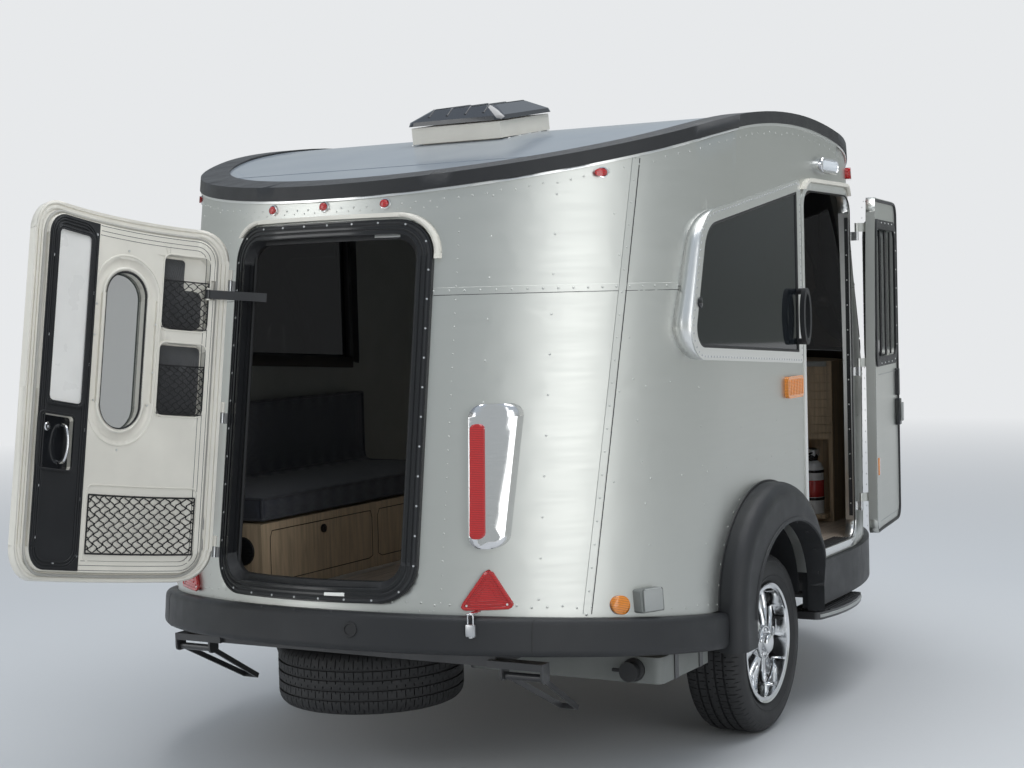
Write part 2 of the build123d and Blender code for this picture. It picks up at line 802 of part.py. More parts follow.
with BuildPart() as hatch_leaf:
    add(closed_hatch.part.rotate(HATCH_HINGE, -HATCH_OPEN))
    lug_plane = stay_plane(STAY_LUG_TOWARD)
    for rise in (-STAY_LUG - 1, STAY_WIDE + 1):
        with BuildSketch(lug_plane.offset(rise)):
            Circle(STAY_EYE)
            with Locations((STAY_LUG_REACH / 2, 0)):
                Rectangle(STAY_LUG_REACH, 2 * STAY_EYE)
        extrude(amount=STAY_LUG)
    with BuildSketch(lug_plane.offset(-STAY_LUG)):
        Circle(STAY_PIN)
    extrude(amount=STAY_WIDE + 2 * STAY_LUG)
save(hatch_leaf, "hatch_leaf")

with BuildPart() as hatch_stay:
    with BuildSketch(stay_plane(stay_toward)):
        with Locations((STAY_LENGTH / 2, 0)):
            Rectangle(STAY_LENGTH, STAY_THICK)
        Circle(STAY_EYE)
        Circle(STAY_PIN + PIN_CLEAR, mode=Mode.SUBTRACT)
    extrude(amount=STAY_WIDE)
save(hatch_stay, "hatch_stay")

with BuildPart() as hatch_pane:
    add(rear_skin(oval(-1), LEAF_OUTER - PANE, LEAF_OUTER - 2 * PANE).rotate(HATCH_HINGE, -HATCH_OPEN))
save(hatch_pane, "hatch_pane")

# Black cover down the leaf's free side, round the white blind and the latch box
with BuildPart() as closed_cover:
    with BuildSketch() as cover_outline:
        add(plug_edge(3))
        with Locations((COVER_EDGE_Y - HATCH_HALF_WIDTH, (HATCH_FOOT + HATCH_HEAD) / 2)):
            Rectangle(2 * HATCH_HALF_WIDTH, HATCH_HEAD, mode=Mode.INTERSECT)
        rounded_outline(*LATCH_BOX, 12, mode=Mode.SUBTRACT)
    low_y, low_z, high_y, high_z = BLIND
    rim = panel(low_y - 10, low_z - 10, high_y + 10, high_z + 10, 24)
    blind = panel(*BLIND, 16)
    add(rear_skin(cover_outline.sketch, PLUG_FACE, PLUG_FACE - COVER_THICK, blind))
    add(rear_skin(rim, PLUG_FACE - COVER_THICK, PLUG_FACE - 2 * COVER_THICK, blind))

with BuildPart() as hatch_cover:
    add(closed_cover.part.rotate(HATCH_HINGE, -HATCH_OPEN))
save(hatch_cover, "hatch_cover")

# Latch: an upright pull bar on two posts in the latch box
LATCH_BAR = 16
with BuildPart() as closed_latch:
    low_y, low_z, high_y, high_z = LATCH_BOX
    bar_y = high_y - 2 * LATCH_BAR
    add(
        rear_skin(
            panel(bar_y, low_z + LATCH_BAR, bar_y + LATCH_BAR, high_z - LATCH_BAR, 6),
            PLUG_FACE + 4,
            PLUG_FACE - 6,
        )
    )
    for post_z in (low_z + LATCH_BAR, high_z - 2 * LATCH_BAR):
        post = panel(bar_y + 2, post_z, bar_y + LATCH_BAR - 2, post_z + LATCH_BAR, 4)
        add(rear_skin(post, PLUG_FACE + LATCH_BOX_DEEP, PLUG_FACE + 4))

with BuildPart() as hatch_latch:
    add(closed_latch.part.rotate(HATCH_HINGE, -HATCH_OPEN))
save(hatch_latch, "hatch_latch")

# The knuckles that stay on the body, under those of the two doors
with BuildPart() as hinge_knuckles:
    add(knuckles(HATCH_HINGE, HINGE_HEIGHTS, (1, -0.39, 0), HINGE_OUT + WALL, True))
    add(knuckles(SIDE_HINGE, SIDE_HINGE_HEIGHTS, (0.2, 1, 0), HINGE_SIDE_OUT + WALL, True))
    add(body_solid(0), mode=Mode.SUBTRACT)
    add(hatch_frame.part, mode=Mode.SUBTRACT)
    add(side_door_frame.part, mode=Mode.SUBTRACT)
save(hinge_knuckles, "hinge_knuckles")

# Drip rails, the raised eyebrows over the hatch and the side door
DRIP_OUT = 22
DOOR_DRIP_OUT = DOOR_FRAME + 18
DRIP_WIDE = 14
DRIP_PROUD = 20
HATCH_DRIP_LEFT = 1887
HATCH_DRIP_RIGHT = 1787
with BuildPart() as drip_rails:
    with BuildSketch() as hatch_brow:
        add(hatch_edge(-DRIP_OUT))
        add(hatch_edge(DRIP_WIDE - DRIP_OUT), mode=Mode.SUBTRACT)
        for side_y, foot in [(-HATCH_HALF_WIDTH, HATCH_DRIP_RIGHT), (HATCH_HALF_WIDTH, HATCH_DRIP_LEFT)]:
            with Locations((side_y, foot - HATCH_HEAD / 2)):
                Rectangle(2 * HATCH_HALF_WIDTH, HATCH_HEAD, mode=Mode.SUBTRACT)
    add(rear_skin(hatch_brow.sketch, DRIP_PROUD, 0))
    with BuildSketch() as door_brow:
        add(door_edge(-DOOR_DRIP_OUT))
        add(door_edge(DRIP_WIDE - DOOR_DRIP_OUT), mode=Mode.SUBTRACT)
        with Locations(((DOOR_REAR + DOOR_FRONT) / 2, DOOR_HEAD)):
            Rectangle(DOOR_FRONT - DOOR_REAR + 2 * DOOR_FRAME, 4 * DOOR_CORNER, mode=Mode.INTERSECT)
        with Locations(((DOOR_REAR + DOOR_FRONT) / 2, DOOR_HEAD - DOOR_CORNER)):
            Rectangle(2 * (DOOR_FRONT - DOOR_REAR), 2 * DOOR_CORNER, mode=Mode.SUBTRACT)
    add(side_skin(door_brow.sketch, DRIP_PROUD, 0))
save(drip_rails, "drip_rails")

# Chassis: two rails, cross members and the A-frame of the tongue, welded into one
CROSS_MEMBERS = [CHASSIS_REAR + 25, SPARE_X, -300, 450, TONGUE_ROOT - 25]
with BuildPart() as chassis_frame:
    with BuildSketch(level(CHASSIS_BOTTOM)):
        for hand in (-1, 1):
            with Locations(((CHASSIS_REAR + TONGUE_ROOT) / 2, hand * RAIL_Y)):
                Rectangle(TONGUE_ROOT - CHASSIS_REAR, RAIL_WIDTH)
            with BuildLine():
                Polyline(
                    (TONGUE_ROOT - RAIL_WIDTH, hand * (RAIL_Y + RAIL_WIDTH / 2)),
                    (TONGUE_TIP, hand * (TONGUE_TIP_Y + RAIL_WIDTH / 2)),
                    (TONGUE_TIP, hand * (TONGUE_TIP_Y - RAIL_WIDTH / 2)),
                    (TONGUE_ROOT - RAIL_WIDTH, hand * (RAIL_Y - RAIL_WIDTH / 2)),
                    close=True,
                )
            make_face()
        for x in CROSS_MEMBERS:
            with Locations((x, 0)):
                Rectangle(RAIL_WIDTH, 2 * RAIL_Y)
        with Locations((JACK_X, 0)):
            Rectangle(JACK_PLATE, 2 * TONGUE_TIP_Y + RAIL_WIDTH)
    extrude(amount=RAIL_HEIGHT)
    with BuildSketch(level(CHASSIS_BOTTOM)):
        with Locations((JACK_X, 0)):
            Circle(JACK_TUBE + 1)
    extrude(amount=RAIL_HEIGHT, mode=Mode.SUBTRACT)
    ear_out = STAND_TUBE_LENGTH / 2 + STAND_PLAY
    for hand in (-1, 1):
        with BuildSketch(level(CHASSIS_BOTTOM)):
            with Locations((STAND_X, hand * (RAIL_Y + STAND_Y + ear_out + EAR) / 2)):
                Rectangle(RAIL_WIDTH, STAND_Y + ear_out + EAR - RAIL_Y)
        extrude(amount=3 * EAR)
        for inner_face in (STAND_Y - ear_out - EAR, STAND_Y + ear_out):
            with BuildSketch(side(hand * inner_face)):
                with Locations((STAND_X, CHASSIS_BOTTOM)):
                    RectangleRounded(RAIL_WIDTH, 2 * (CHASSIS_BOTTOM - STAND_Z + 2 * EAR), 2 * EAR)
                with Locations((STAND_X, CHASSIS_BOTTOM + RAIL_HEIGHT / 2)):
                    Rectangle(2 * RAIL_WIDTH, RAIL_HEIGHT, mode=Mode.SUBTRACT)
            extrude(amount=-hand * EAR)
        with BuildSketch(side(hand * (STAND_Y + ear_out + EAR))):
            with Locations((STAND_X, STAND_Z)):
                Circle(PIN_RADIUS)
        extrude(amount=hand * 2 * (ear_out + EAR))
save(chassis_frame, "chassis_frame")

# Front skirt: side sills and the guard round the foot of the nose
with BuildPart() as front_skirt:
    with BuildSketch(level(SKIRT_BOTTOM)):
        add(plan_shape(BODY_BOTTOM, SKIRT_PROUD))
    extrude(amount=BODY_BOTTOM + 25 - SKIRT_BOTTOM)
    with BuildSketch(level(SKIRT_BOTTOM)):
        add(plan_shape(BODY_BOTTOM, -SKIRT_PROUD))
    extrude(amount=BODY_BOTTOM + 25 - SKIRT_BOTTOM, mode=Mode.SUBTRACT)
    add(body_solid(0), mode=Mode.SUBTRACT)
    add(chassis_frame.part, mode=Mode.SUBTRACT)
    center_x, center_z, half_x, half_z = ARCH_EDGE
    split(bisect_by=across(center_x + half_x), keep=Keep.TOP)
save(front_skirt, "front_skirt")

# Coupler: a housing over the tongue's tip with the ball socket under it
BALL_RADIUS = 25
COUPLER_REACH = 190
COUPLER_WIDE = 70
COUPLER_NARROW = 36
COUPLER_PLATE = 8
COUPLER_BOX = 200
LOCK_LUG = 24
LOCK_PIN_RADIUS = 4
with BuildPart() as coupler:
    with BuildSketch(level(CHASSIS_BOTTOM + RAIL_HEIGHT)):
        with BuildLine():
            Polyline(
                (TONGUE_TIP - COUPLER_REACH, -COUPLER_WIDE),
                (BALL_TO_AXLE - COUPLER_NARROW, -COUPLER_NARROW),
                (BALL_TO_AXLE - COUPLER_NARROW, COUPLER_NARROW),
                (TONGUE_TIP - COUPLER_REACH, COUPLER_WIDE),
                close=True,
            )
        make_face()
    extrude(amount=COUPLER_PLATE)
    with BuildSketch(level(CHASSIS_BOTTOM)):
        with Locations((BALL_TO_AXLE - COUPLER_BOX / 5, 0)):
            Rectangle(COUPLER_BOX, 2 * COUPLER_NARROW)
    extrude(amount=RAIL_HEIGHT + COUPLER_PLATE)
    with Locations(place(BALL_TO_AXLE, 0, BALL_HEIGHT)):
        Sphere(BALL_RADIUS + 15)
    with Locations(place(BALL_TO_AXLE, 0, BALL_HEIGHT)):
        Sphere(BALL_RADIUS + 1, mode=Mode.SUBTRACT)
    with BuildSketch(level(BALL_HEIGHT)):
        with Locations((BALL_TO_AXLE, 0)):
            Circle(BALL_RADIUS + 1)
    extrude(amount=-60, mode=Mode.SUBTRACT)
    with BuildSketch(side(LOCK_LUG / 2)):
        with Locations((BALL_TO_AXLE - 110, CHASSIS_BOTTOM + RAIL_HEIGHT + COUPLER_PLATE + LOCK_LUG / 2)):
            Rectangle(2 * LOCK_LUG, LOCK_LUG)
            Circle(LOCK_PIN_RADIUS, mode=Mode.SUBTRACT)
    extrude(amount=LOCK_LUG)
save(coupler, "coupler")

# Tongue jack: the fixed post and the leg that screws out of it
with BuildPart() as jack_post:
    with BuildSketch(level(JACK_TUBE_FOOT)):
        with Locations((JACK_X, 0)):
            Circle(JACK_TUBE)
            Circle(JACK_TUBE - JACK_WALL, mode=Mode.SUBTRACT)
    extrude(amount=JACK_TUBE_LENGTH)
    with BuildSketch(level(CHASSIS_BOTTOM + RAIL_HEIGHT)):
        with Locations((JACK_X, 0)):
            Circle(JACK_TUBE + JACK_COLLAR)
            Circle(JACK_TUBE - JACK_WALL / 2, mode=Mode.SUBTRACT)
    extrude(amount=JACK_COLLAR)
save(jack_post, "jack_post")

with BuildPart() as jack_leg:
    with BuildSketch(level(0)):
        with Locations((JACK_X, 0)):
            RectangleRounded(JACK_FOOT, JACK_FOOT, JACK_FOOT / 8)
    extrude(amount=JACK_FOOT_THICK)
    with BuildSketch(level(JACK_FOOT_THICK)):
        with Locations((JACK_X, 0)):
            Circle(JACK_TUBE - JACK_WALL - 2)
    extrude(amount=2 * JACK_TRAVEL)
save(jack_leg, "jack_leg")

# Axle: a torsion tube, a trailing arm, a brake drum and a spindle each side
WHEEL_Y = WHEEL_OUTER_FACE - TYRE_WIDTH / 2
DRUM_FACE = WHEEL_OUTER_FACE - TYRE_WIDTH + 20
AXLE_HALF = WELL_INBOARD - 45
ARM_THICK = 30
with BuildPart() as axle_beam:
    with BuildSketch(side(-AXLE_HALF)):
        with Locations((AXLE_FORWARD, AXLE_HEIGHT)):
            RectangleRounded(AXLE_TUBE, AXLE_TUBE, 12)
    extrude(amount=-2 * AXLE_HALF)
    for hand in (-1, 1):
        with BuildSketch(level(AXLE_HEIGHT)):
            with Locations((AXLE_FORWARD, hand * RAIL_Y)):
                Rectangle(AXLE_TUBE + 20, RAIL_WIDTH)
        extrude(amount=CHASSIS_BOTTOM - AXLE_HEIGHT)
        with BuildSketch(side(hand * AXLE_HALF)):
            half = AXLE_TUBE / 2
            with BuildLine():
                Polyline(
                    (AXLE_FORWARD + half, AXLE_HEIGHT + half),
                    (-ARM_THICK, TYRE_RADIUS + ARM_THICK),
                    (-ARM_THICK, TYRE_RADIUS - ARM_THICK),
                    (AXLE_FORWARD + half, AXLE_HEIGHT - half),
                    close=True,
                )
            make_face()
        extrude(amount=-hand * ARM_THICK)
        for radius, start, end in [
            (DRUM_RADIUS, AXLE_HALF + ARM_THICK, DRUM_FACE),
            (SPINDLE_RADIUS, DRUM_FACE, WHEEL_Y + 10),
        ]:
            with BuildSketch(side(hand * start)):
                with Locations((0, TYRE_RADIUS)):
                    Circle(radius)
            extrude(amount=-hand * (end - start))
save(axle_beam, "axle_beam")


# Wheels: tyre and rim turn about the axle; profiles are drawn with the wheel's axis as y
def tyre_solid():
    """A plain tyre on the Y axis, centred on its middle plane."""
    half = TYRE_WIDTH / 2
    with BuildPart() as tyre:
        with BuildSketch(Plane.XY):
            with BuildLine():
                bead = half - TYRE_BEAD_IN
                shoulder = half - TYRE_SHOULDER
                Polyline(
                    (RIM_RADIUS, -bead),
                    (RIM_RADIUS, bead),
                    (RIM_RADIUS + TYRE_BULGE, half),
                    (TYRE_RADIUS, shoulder),
                    (TYRE_RADIUS, -shoulder),
                    (RIM_RADIUS + TYRE_BULGE, -half),
                    close=True,
                )
            make_face()
        revolve(axis=Axis.Y)
    return tyre.part


def polar(radius, angle):
    """A point by its radius and its angle in degrees."""
    return radius * cos(radians(angle)), radius * sin(radians(angle))


def spoke_fan(half):
    """Split spokes that sweep round as they run out, trimmed to a dished face."""
    with BuildPart() as fan:
        with BuildSketch(Plane(origin=(0, half, 0), x_dir=(1, 0, 0), z_dir=(0, -1, 0))):
            for turn in range(SPOKE_PAIRS):
                start = 360 / SPOKE_PAIRS * turn
                # Each spoke's outline, then the window that splits it: radius and angle of its ends
                for inner, outer, root, reach, mode in [
                    (HUB_RADIUS - 8, RIM_RADIUS - 12, 15, 18, Mode.ADD),
                    (HUB_RADIUS + 26, RIM_RADIUS - 24, 2, 9, Mode.SUBTRACT),
                ]:
                    bow = start + SPOKE_BOW
                    end = start + SPOKE_SWEEP
                    middle = (inner + outer) / 2
                    wide = (root + reach) / 2
                    with BuildLine():
                        ThreePointArc(
                            polar(inner, start - root), polar(middle, bow - wide), polar(outer, end - reach)
                        )
                        Line(polar(outer, end - reach), polar(outer, end + reach))
                        ThreePointArc(
                            polar(outer, end + reach), polar(middle, bow + wide), polar(inner, start + root)
                        )
                        Line(polar(inner, start + root), polar(inner, start - root))
                    make_face(mode=mode)
        extrude(amount=2 * half)
        with BuildSketch(Plane.XY):
            with BuildLine():
                Polyline(
                    (HUB_RADIUS - 12, SPOKE_FACE - half),
                    (RIM_RADIUS - 10, SPOKE_FACE + SPOKE_DISH - half),
                    (RIM_RADIUS - 10, SPOKE_FACE + SPOKE_DISH + SPOKE_THICK - half),
                    (HUB_RADIUS - 12, SPOKE_FACE + SPOKE_THICK - half),
                    close=True,
                )
            make_face()
        revolve(axis=Axis.Y, mode=Mode.INTERSECT)
    return fan.part


def rim_solid():
    """A rim on the Y axis: barrel, hub and paired spokes; the outer face looks to -Y."""
    half = TYRE_WIDTH / 2
    with BuildPart() as rim:
        with BuildSketch(Plane.XY):
            with BuildLine():
                barrel = RIM_RADIUS - RIM_WALL
                Polyline(
                    (RIM_RADIUS, RIM_LIP - half),
                    (RIM_RADIUS, half - TYRE_BEAD_IN),
                    (RIM_RADIUS - RIM_WALL / 2, half - TYRE_BEAD_IN),
                    (barrel, half - TYRE_BEAD_IN - RIM_SEAT),
                    (barrel, RIM_LIP - half),
                    close=True,
                )
            make_face()
            bore = SPINDLE_RADIUS + RUNNING_GAP
            with BuildLine():
                Polyline(
                    (bore, HUB_FACE - half),
                    (HUB_RADIUS - HUB_CONE, HUB_FACE - half),
                    (HUB_RADIUS, HUB_FACE + HUB_CONE - half),
                    (HUB_RADIUS, HUB_BACK),
                    (bore, HUB_BACK),
                    close=True,
                )
            make_face()
            with BuildLine():
                Polyline(
                    (0, CAP_FACE - half),
                    (bore, CAP_FACE + 4 - half),
                    (bore + 4, CAP_FACE + CAP_DEEP - half),
                    (0, CAP_FACE + CAP_DEEP - half),
                    close=True,
                )
            make_face()
        revolve(axis=Axis.Y)
        add(spoke_fan(half))
    return rim.part


TYRE = tyre_solid()
RIM = rim_solid()
WHEELS = [("right", -WHEEL_Y, 0), ("left", WHEEL_Y, 180)]
for name, y, turn in WHEELS:
    spot = Location(place(0, y, TYRE_RADIUS)) * Location((0, 0, 0), (0, 0, turn))
    with BuildPart() as tyre:
        add(TYRE.moved(spot))
    save(tyre, f"tyre_{name}")
    with BuildPart() as rim:
        add(RIM.moved(spot))
    save(rim, f"rim_{name}")

with BuildPart() as spare_wheel:
    flat = Location(place(SPARE_X, SPARE_Y, SPARE_BOTTOM + TYRE_WIDTH / 2)) * Location((0, 0, 0), (90, 0, 0))
    add(TYRE.moved(flat))
    with BuildSketch(level(SPARE_BOTTOM + (TYRE_WIDTH - SPARE_DISC) / 2)):
        with Locations((SPARE_X, SPARE_Y)):
            Circle(RIM_RADIUS)
            Circle(SPARE_BOLT + 4, mode=Mode.SUBTRACT)
    extrude(amount=SPARE_DISC)
save(spare_wheel, "spare_wheel")

with BuildPart() as spare_carrier:
    with BuildSketch(level(CHASSIS_BOTTOM)):
        with Locations((SPARE_X, SPARE_Y)):
            Circle(SPARE_BOLT)
    extrude(amount=SPARE_BOTTOM - CHASSIS_BOTTOM)
    with BuildSketch(level(SPARE_BOTTOM + (TYRE_WIDTH - SPARE_DISC) / 2)):
        with Locations((SPARE_X, SPARE_Y)):
            Circle(SPARE_WASHER)
    extrude(amount=-EAR)
save(spare_carrier, "spare_carrier")

# Rear stands: a tapering strap on a tube that turns on the chassis's pins, stowed or swung down
for name, hand in [("left", 1), ("right", -1)]:
    stand_plane = Plane(
        origin=place(STAND_X, hand * STAND_Y, STAND_Z),
        x_dir=(0, -1, 0),
        z_dir=(sin(radians(STAND_ANGLE)), 0, cos(radians(STAND_ANGLE))),
    )
    half = STAND_TUBE_LENGTH / 2
    with BuildPart() as stand:
        with BuildSketch(stand_plane):
            with BuildLine():
                Polyline(
                    (-half, 0), (half, 0), (STAND_TIP, STAND_LENGTH), (-STAND_TIP, STAND_LENGTH), close=True
                )
            make_face()
            with BuildLine():
                inner = STAND_TIP - STAND_RIM
                Polyline(
                    (STAND_RIM - half, 2 * STAND_RIM),
                    (half - STAND_RIM, 2 * STAND_RIM),
                    (inner, STAND_LENGTH - STAND_RIM),
                    (-inner, STAND_LENGTH - STAND_RIM),
                    close=True,
                )
            make_face(mode=Mode.SUBTRACT)
        extrude(amount=STAND_RIM, both=True)
        for radius, mode in [(PIN_RADIUS + 6, Mode.ADD), (PIN_RADIUS + PIN_CLEAR, Mode.SUBTRACT)]:
            with BuildSketch(side(hand * STAND_Y + half)):
                with Locations((STAND_X, STAND_Z)):
                    Circle(radius)
            extrude(amount=2 * half, mode=mode)
    save(stand, f"stand_{name}")

# Grey water tank under the rear right
with BuildPart() as grey_tank:
    with BuildSketch(level(TANK_BOTTOM)):
        with Locations((TANK_X, TANK_WIDTH / 2 + TANK_INSET - HALF_WIDTH)):
            RectangleRounded(TANK_LENGTH, TANK_WIDTH, 30)
    extrude(amount=TANK_HEIGHT)
save(grey_tank, "grey_tank")

# Two straps that hang the tank from the floor
STRAP = 30
STRAP_THICK = 4
with BuildPart() as tank_straps:
    high_y = TANK_WIDTH + TANK_INSET - HALF_WIDTH + STRAP_THICK
    low_y = TANK_INSET - HALF_WIDTH - STRAP_THICK
    for x in (TANK_X - TANK_LENGTH / 4, TANK_X + TANK_LENGTH / 4):
        with BuildSketch(across(x)):
            rounded_outline(
                low_y, TANK_BOTTOM - STRAP_THICK, high_y, BODY_BOTTOM + STRAP, 2 * STRAP_THICK
            )
            with Locations(((low_y + high_y) / 2, (TANK_BOTTOM + BODY_BOTTOM + 2 * STRAP) / 2)):
                Rectangle(TANK_WIDTH, BODY_BOTTOM + 2 * STRAP - TANK_BOTTOM, mode=Mode.SUBTRACT)
            with Locations(((low_y + high_y) / 2, BODY_BOTTOM + STRAP)):
                Rectangle(2 * TANK_WIDTH, 2 * STRAP, mode=Mode.SUBTRACT)
        extrude(amount=STRAP)
save(tank_straps, "tank_straps")

# Entry step under the side door: a bowed tread on two rods that slide in guides under the floor
ROD_RADIUS = 8
ROD_CLEAR = 1
GUIDE_RADIUS = 14
GUIDE_LENGTH = 310
GUIDE_WEB = 6
STEP_RODS = (STEP_REAR + 60, STEP_FRONT - 60)
step_inner = STEP_INBOARD - HALF_WIDTH
rod_height = STEP_BOTTOM + STEP_THICK / 2
with BuildPart() as entry_step:
    edge = -HALF_WIDTH - STEP_REACH
    front = (STEP_FRONT, edge + STEP_BOW)
    rear = (STEP_REAR, edge + STEP_BOW)
    with BuildSketch(level(STEP_BOTTOM)):
        with BuildLine():
            ThreePointArc(rear, ((STEP_REAR + STEP_FRONT) / 2, edge), front)
            Polyline(front, (STEP_FRONT, step_inner), (STEP_REAR, step_inner), rear)
        make_face()
        fillet(vertices().group_by(Axis.Y)[0], radius=STEP_CORNER)
    extrude(amount=STEP_THICK)
    with BuildSketch(side(step_inner)):
        with Locations(*[(x, rod_height) for x in STEP_RODS]):
            Circle(ROD_RADIUS)
    extrude(amount=-GUIDE_LENGTH)
save(entry_step, "entry_step")

with BuildPart() as step_guides:
    with BuildSketch(side(step_inner + 2 * ROD_RADIUS)):
        for x in STEP_RODS:
            with Locations((x, rod_height)):
                Circle(GUIDE_RADIUS)
            with Locations((x, (rod_height + BODY_BOTTOM) / 2)):
                Rectangle(GUIDE_WEB, BODY_BOTTOM - rod_height)
        with Locations(*[(x, rod_height) for x in STEP_RODS]):
            Circle(ROD_RADIUS + ROD_CLEAR, mode=Mode.SUBTRACT)
    extrude(amount=-GUIDE_LENGTH)
save(step_guides, "step_guides")

# Gas bottles on a tray ahead of the nose
GAS_AHEAD = 220
GAS_X = NOSE_START + NOSE_REACH + GAS_AHEAD
GAS_RADIUS = 155
GAS_GAP = 16
GAS_BODY = 300
GAS_DOME = 45
GAS_COLLAR = (75, 55, 5)
GAS_VALVE = (22, 40)
GAS_TRAY = (330, 680)
GAS_TRAY_THICK = 6
with BuildPart() as gas_bottles:
    tray = CHASSIS_BOTTOM + RAIL_HEIGHT
    with BuildSketch(level(tray)):
        with Locations((GAS_X, 0)):
            RectangleRounded(*GAS_TRAY, 20)
    extrude(amount=GAS_TRAY_THICK)
    collar_radius, collar_height, collar_wall = GAS_COLLAR
    valve_radius, valve_height = GAS_VALVE
    for hand in (-1, 1):
        spot = (GAS_X, hand * (GAS_RADIUS + GAS_GAP / 2))
        seat = tray + GAS_TRAY_THICK
        with BuildSketch(level(seat)):
            with Locations(spot):
                Circle(GAS_RADIUS)
        extrude(amount=GAS_BODY)
        for height, radius in [(seat + GAS_BODY, GAS_RADIUS), (seat + GAS_BODY + GAS_DOME, collar_radius)]:
            with BuildSketch(level(height)):
                with Locations(spot):
                    Circle(radius)
        loft(ruled=True)
        top = seat + GAS_BODY + GAS_DOME
        with BuildSketch(level(top)):
            with Locations(spot):
                Circle(collar_radius)
                Circle(collar_radius - collar_wall, mode=Mode.SUBTRACT)
                Rectangle(2 * collar_radius, collar_radius, mode=Mode.SUBTRACT)
        extrude(amount=collar_height)
        with BuildSketch(level(top)):
            with Locations(spot):
                Circle(valve_radius)
        extrude(amount=valve_height)
save(gas_bottles, "gas_bottles")

# Roof vent: a base frame through the roof and a hinged domed lid
with BuildPart() as vent_base:
    with BuildSketch(VENT_PLANE):
        Rectangle(VENT_SIZE, VENT_SIZE)
    extrude(amount=VENT_BASE)
    with BuildSketch(VENT_PLANE.offset(-TRIM_HEIGHT)):
        Rectangle(VENT_HOLE - 2, VENT_HOLE - 2)
    extrude(amount=TRIM_HEIGHT)
    with BuildSketch(VENT_PLANE.offset(-2 * TRIM_HEIGHT)):
        Rectangle(VENT_HOLE - 20, VENT_HOLE - 20)
    extrude(amount=4 * TRIM_HEIGHT, mode=Mode.SUBTRACT)
save(vent_base, "vent_base")

with BuildPart() as vent_lid:
    for rise, size in VENT_DOME:
        with BuildSketch(VENT_PLANE.offset(VENT_BASE + VENT_SEAL + rise)):
            RectangleRounded(size, size, VENT_CORNER)
    loft(ruled=True)
save(vent_lid, "vent_lid")

# Lamps on the rear
TAIL_LAMP = [(540, 1312), (678, 1312), (655, 852), (562, 852)]
TAIL_PROUD = 34
TAIL_LENS = [(550, 1250), (589, 1250), (606, 885), (565, 885)]
LENS_PROUD = 8


def taper(corners, hand, radius):
    """A tapering outline with rounded corners on one hand of the rear."""
    with BuildSketch() as shape:
        with BuildLine():
            FilletPolyline([(hand * y, z) for y, z in corners], radius=radius, close=True)
        make_face()
    return shape.sketch


with BuildPart() as tail_lamps:
    for hand in (-1, 1):
        add(rear_skin(taper(TAIL_LAMP, hand, 40), TAIL_PROUD, 0))
save(tail_lamps, "tail_lamps")

# Red lamps and reflectors: tail lenses, round markers, triangles, and the front outline lamps
MARKERS = [(-844, 2059), (-229, 1974), (0, 1974), (229, 1974), (844, 2059)]
MARKER_RADIUS = 13
MARKER_PROUD = 12
TRIANGLE = [(531, 658), (681, 658), (606, 790)]
OUTLINE_LAMP = (975, 2122, 1105, 2170, 20)
with BuildPart() as red_lamps:
    for hand in (-1, 1):
        add(rear_skin(taper(TAIL_LENS, hand, 16), TAIL_PROUD + LENS_PROUD, TAIL_PROUD))
        add(rear_skin(taper(TRIANGLE, hand, 12), MARKER_PROUD, 0))
        lamp = side_skin(panel(*OUTLINE_LAMP), 2 * MARKER_PROUD, 0)
        add(lamp if hand < 0 else mirror(lamp, about=Plane.XZ, mode=Mode.PRIVATE))
    for y, z in MARKERS:
        add(rear_skin(disc(y, z, MARKER_RADIUS, MARKER_RADIUS), MARKER_PROUD, 0))
save(red_lamps, "red_lamps")

# Amber lamps low on the rear quarter and beside the door; the socket box; the porch lamp
with BuildPart() as amber_lamps:
    add(side_skin(disc(-1030, 640, 27, 31), MARKER_PROUD, 0))
    add(side_skin(panel(150, 1245, 320, 1329, 20), MARKER_PROUD + 4, 0))
    mirror(about=Plane.XZ)
save(amber_lamps, "amber_lamps")

with BuildPart() as socket_box:
    add(side_skin(panel(-978, 606, -890, 684, 8), 2 * MARKER_PROUD, 0))
save(socket_box, "socket_box")

with BuildPart() as porch_lamp:
    add(side_skin(disc(650, 2155, 112, 32), MARKER_PROUD, 0))
    add(side_skin(disc(650, 2155, 92, 24), 2 * MARKER_PROUD, MARKER_PROUD))
save(porch_lamp, "porch_lamp")

GRAB_SPOT = (300, 1556)
GRAB_OUTER = (45, 109)
GRAB_INNER = (27, 88)
GRAB_STAND = 45
GRAB_THICK = 18
GRAB_POST = 12
with BuildPart() as grab_handle:
    with BuildSketch(side(-HALF_WIDTH - GRAB_STAND)):
        with Locations(GRAB_SPOT):
            Ellipse(*GRAB_OUTER)
            Ellipse(*GRAB_INNER, mode=Mode.SUBTRACT)
    extrude(amount=-GRAB_THICK)
    post_rise = (GRAB_OUTER[1] + GRAB_INNER[1]) / 2 - 2
    with BuildSketch(side(-HALF_WIDTH - WINDOW_PROUD)):
        with Locations(*[(GRAB_SPOT[0], GRAB_SPOT[1] + hand * post_rise) for hand in (-1, 1)]):
            Circle(GRAB_POST)
    extrude(amount=GRAB_STAND - GRAB_THICK + WINDOW_PROUD)
save(grab_handle, "grab_handle")

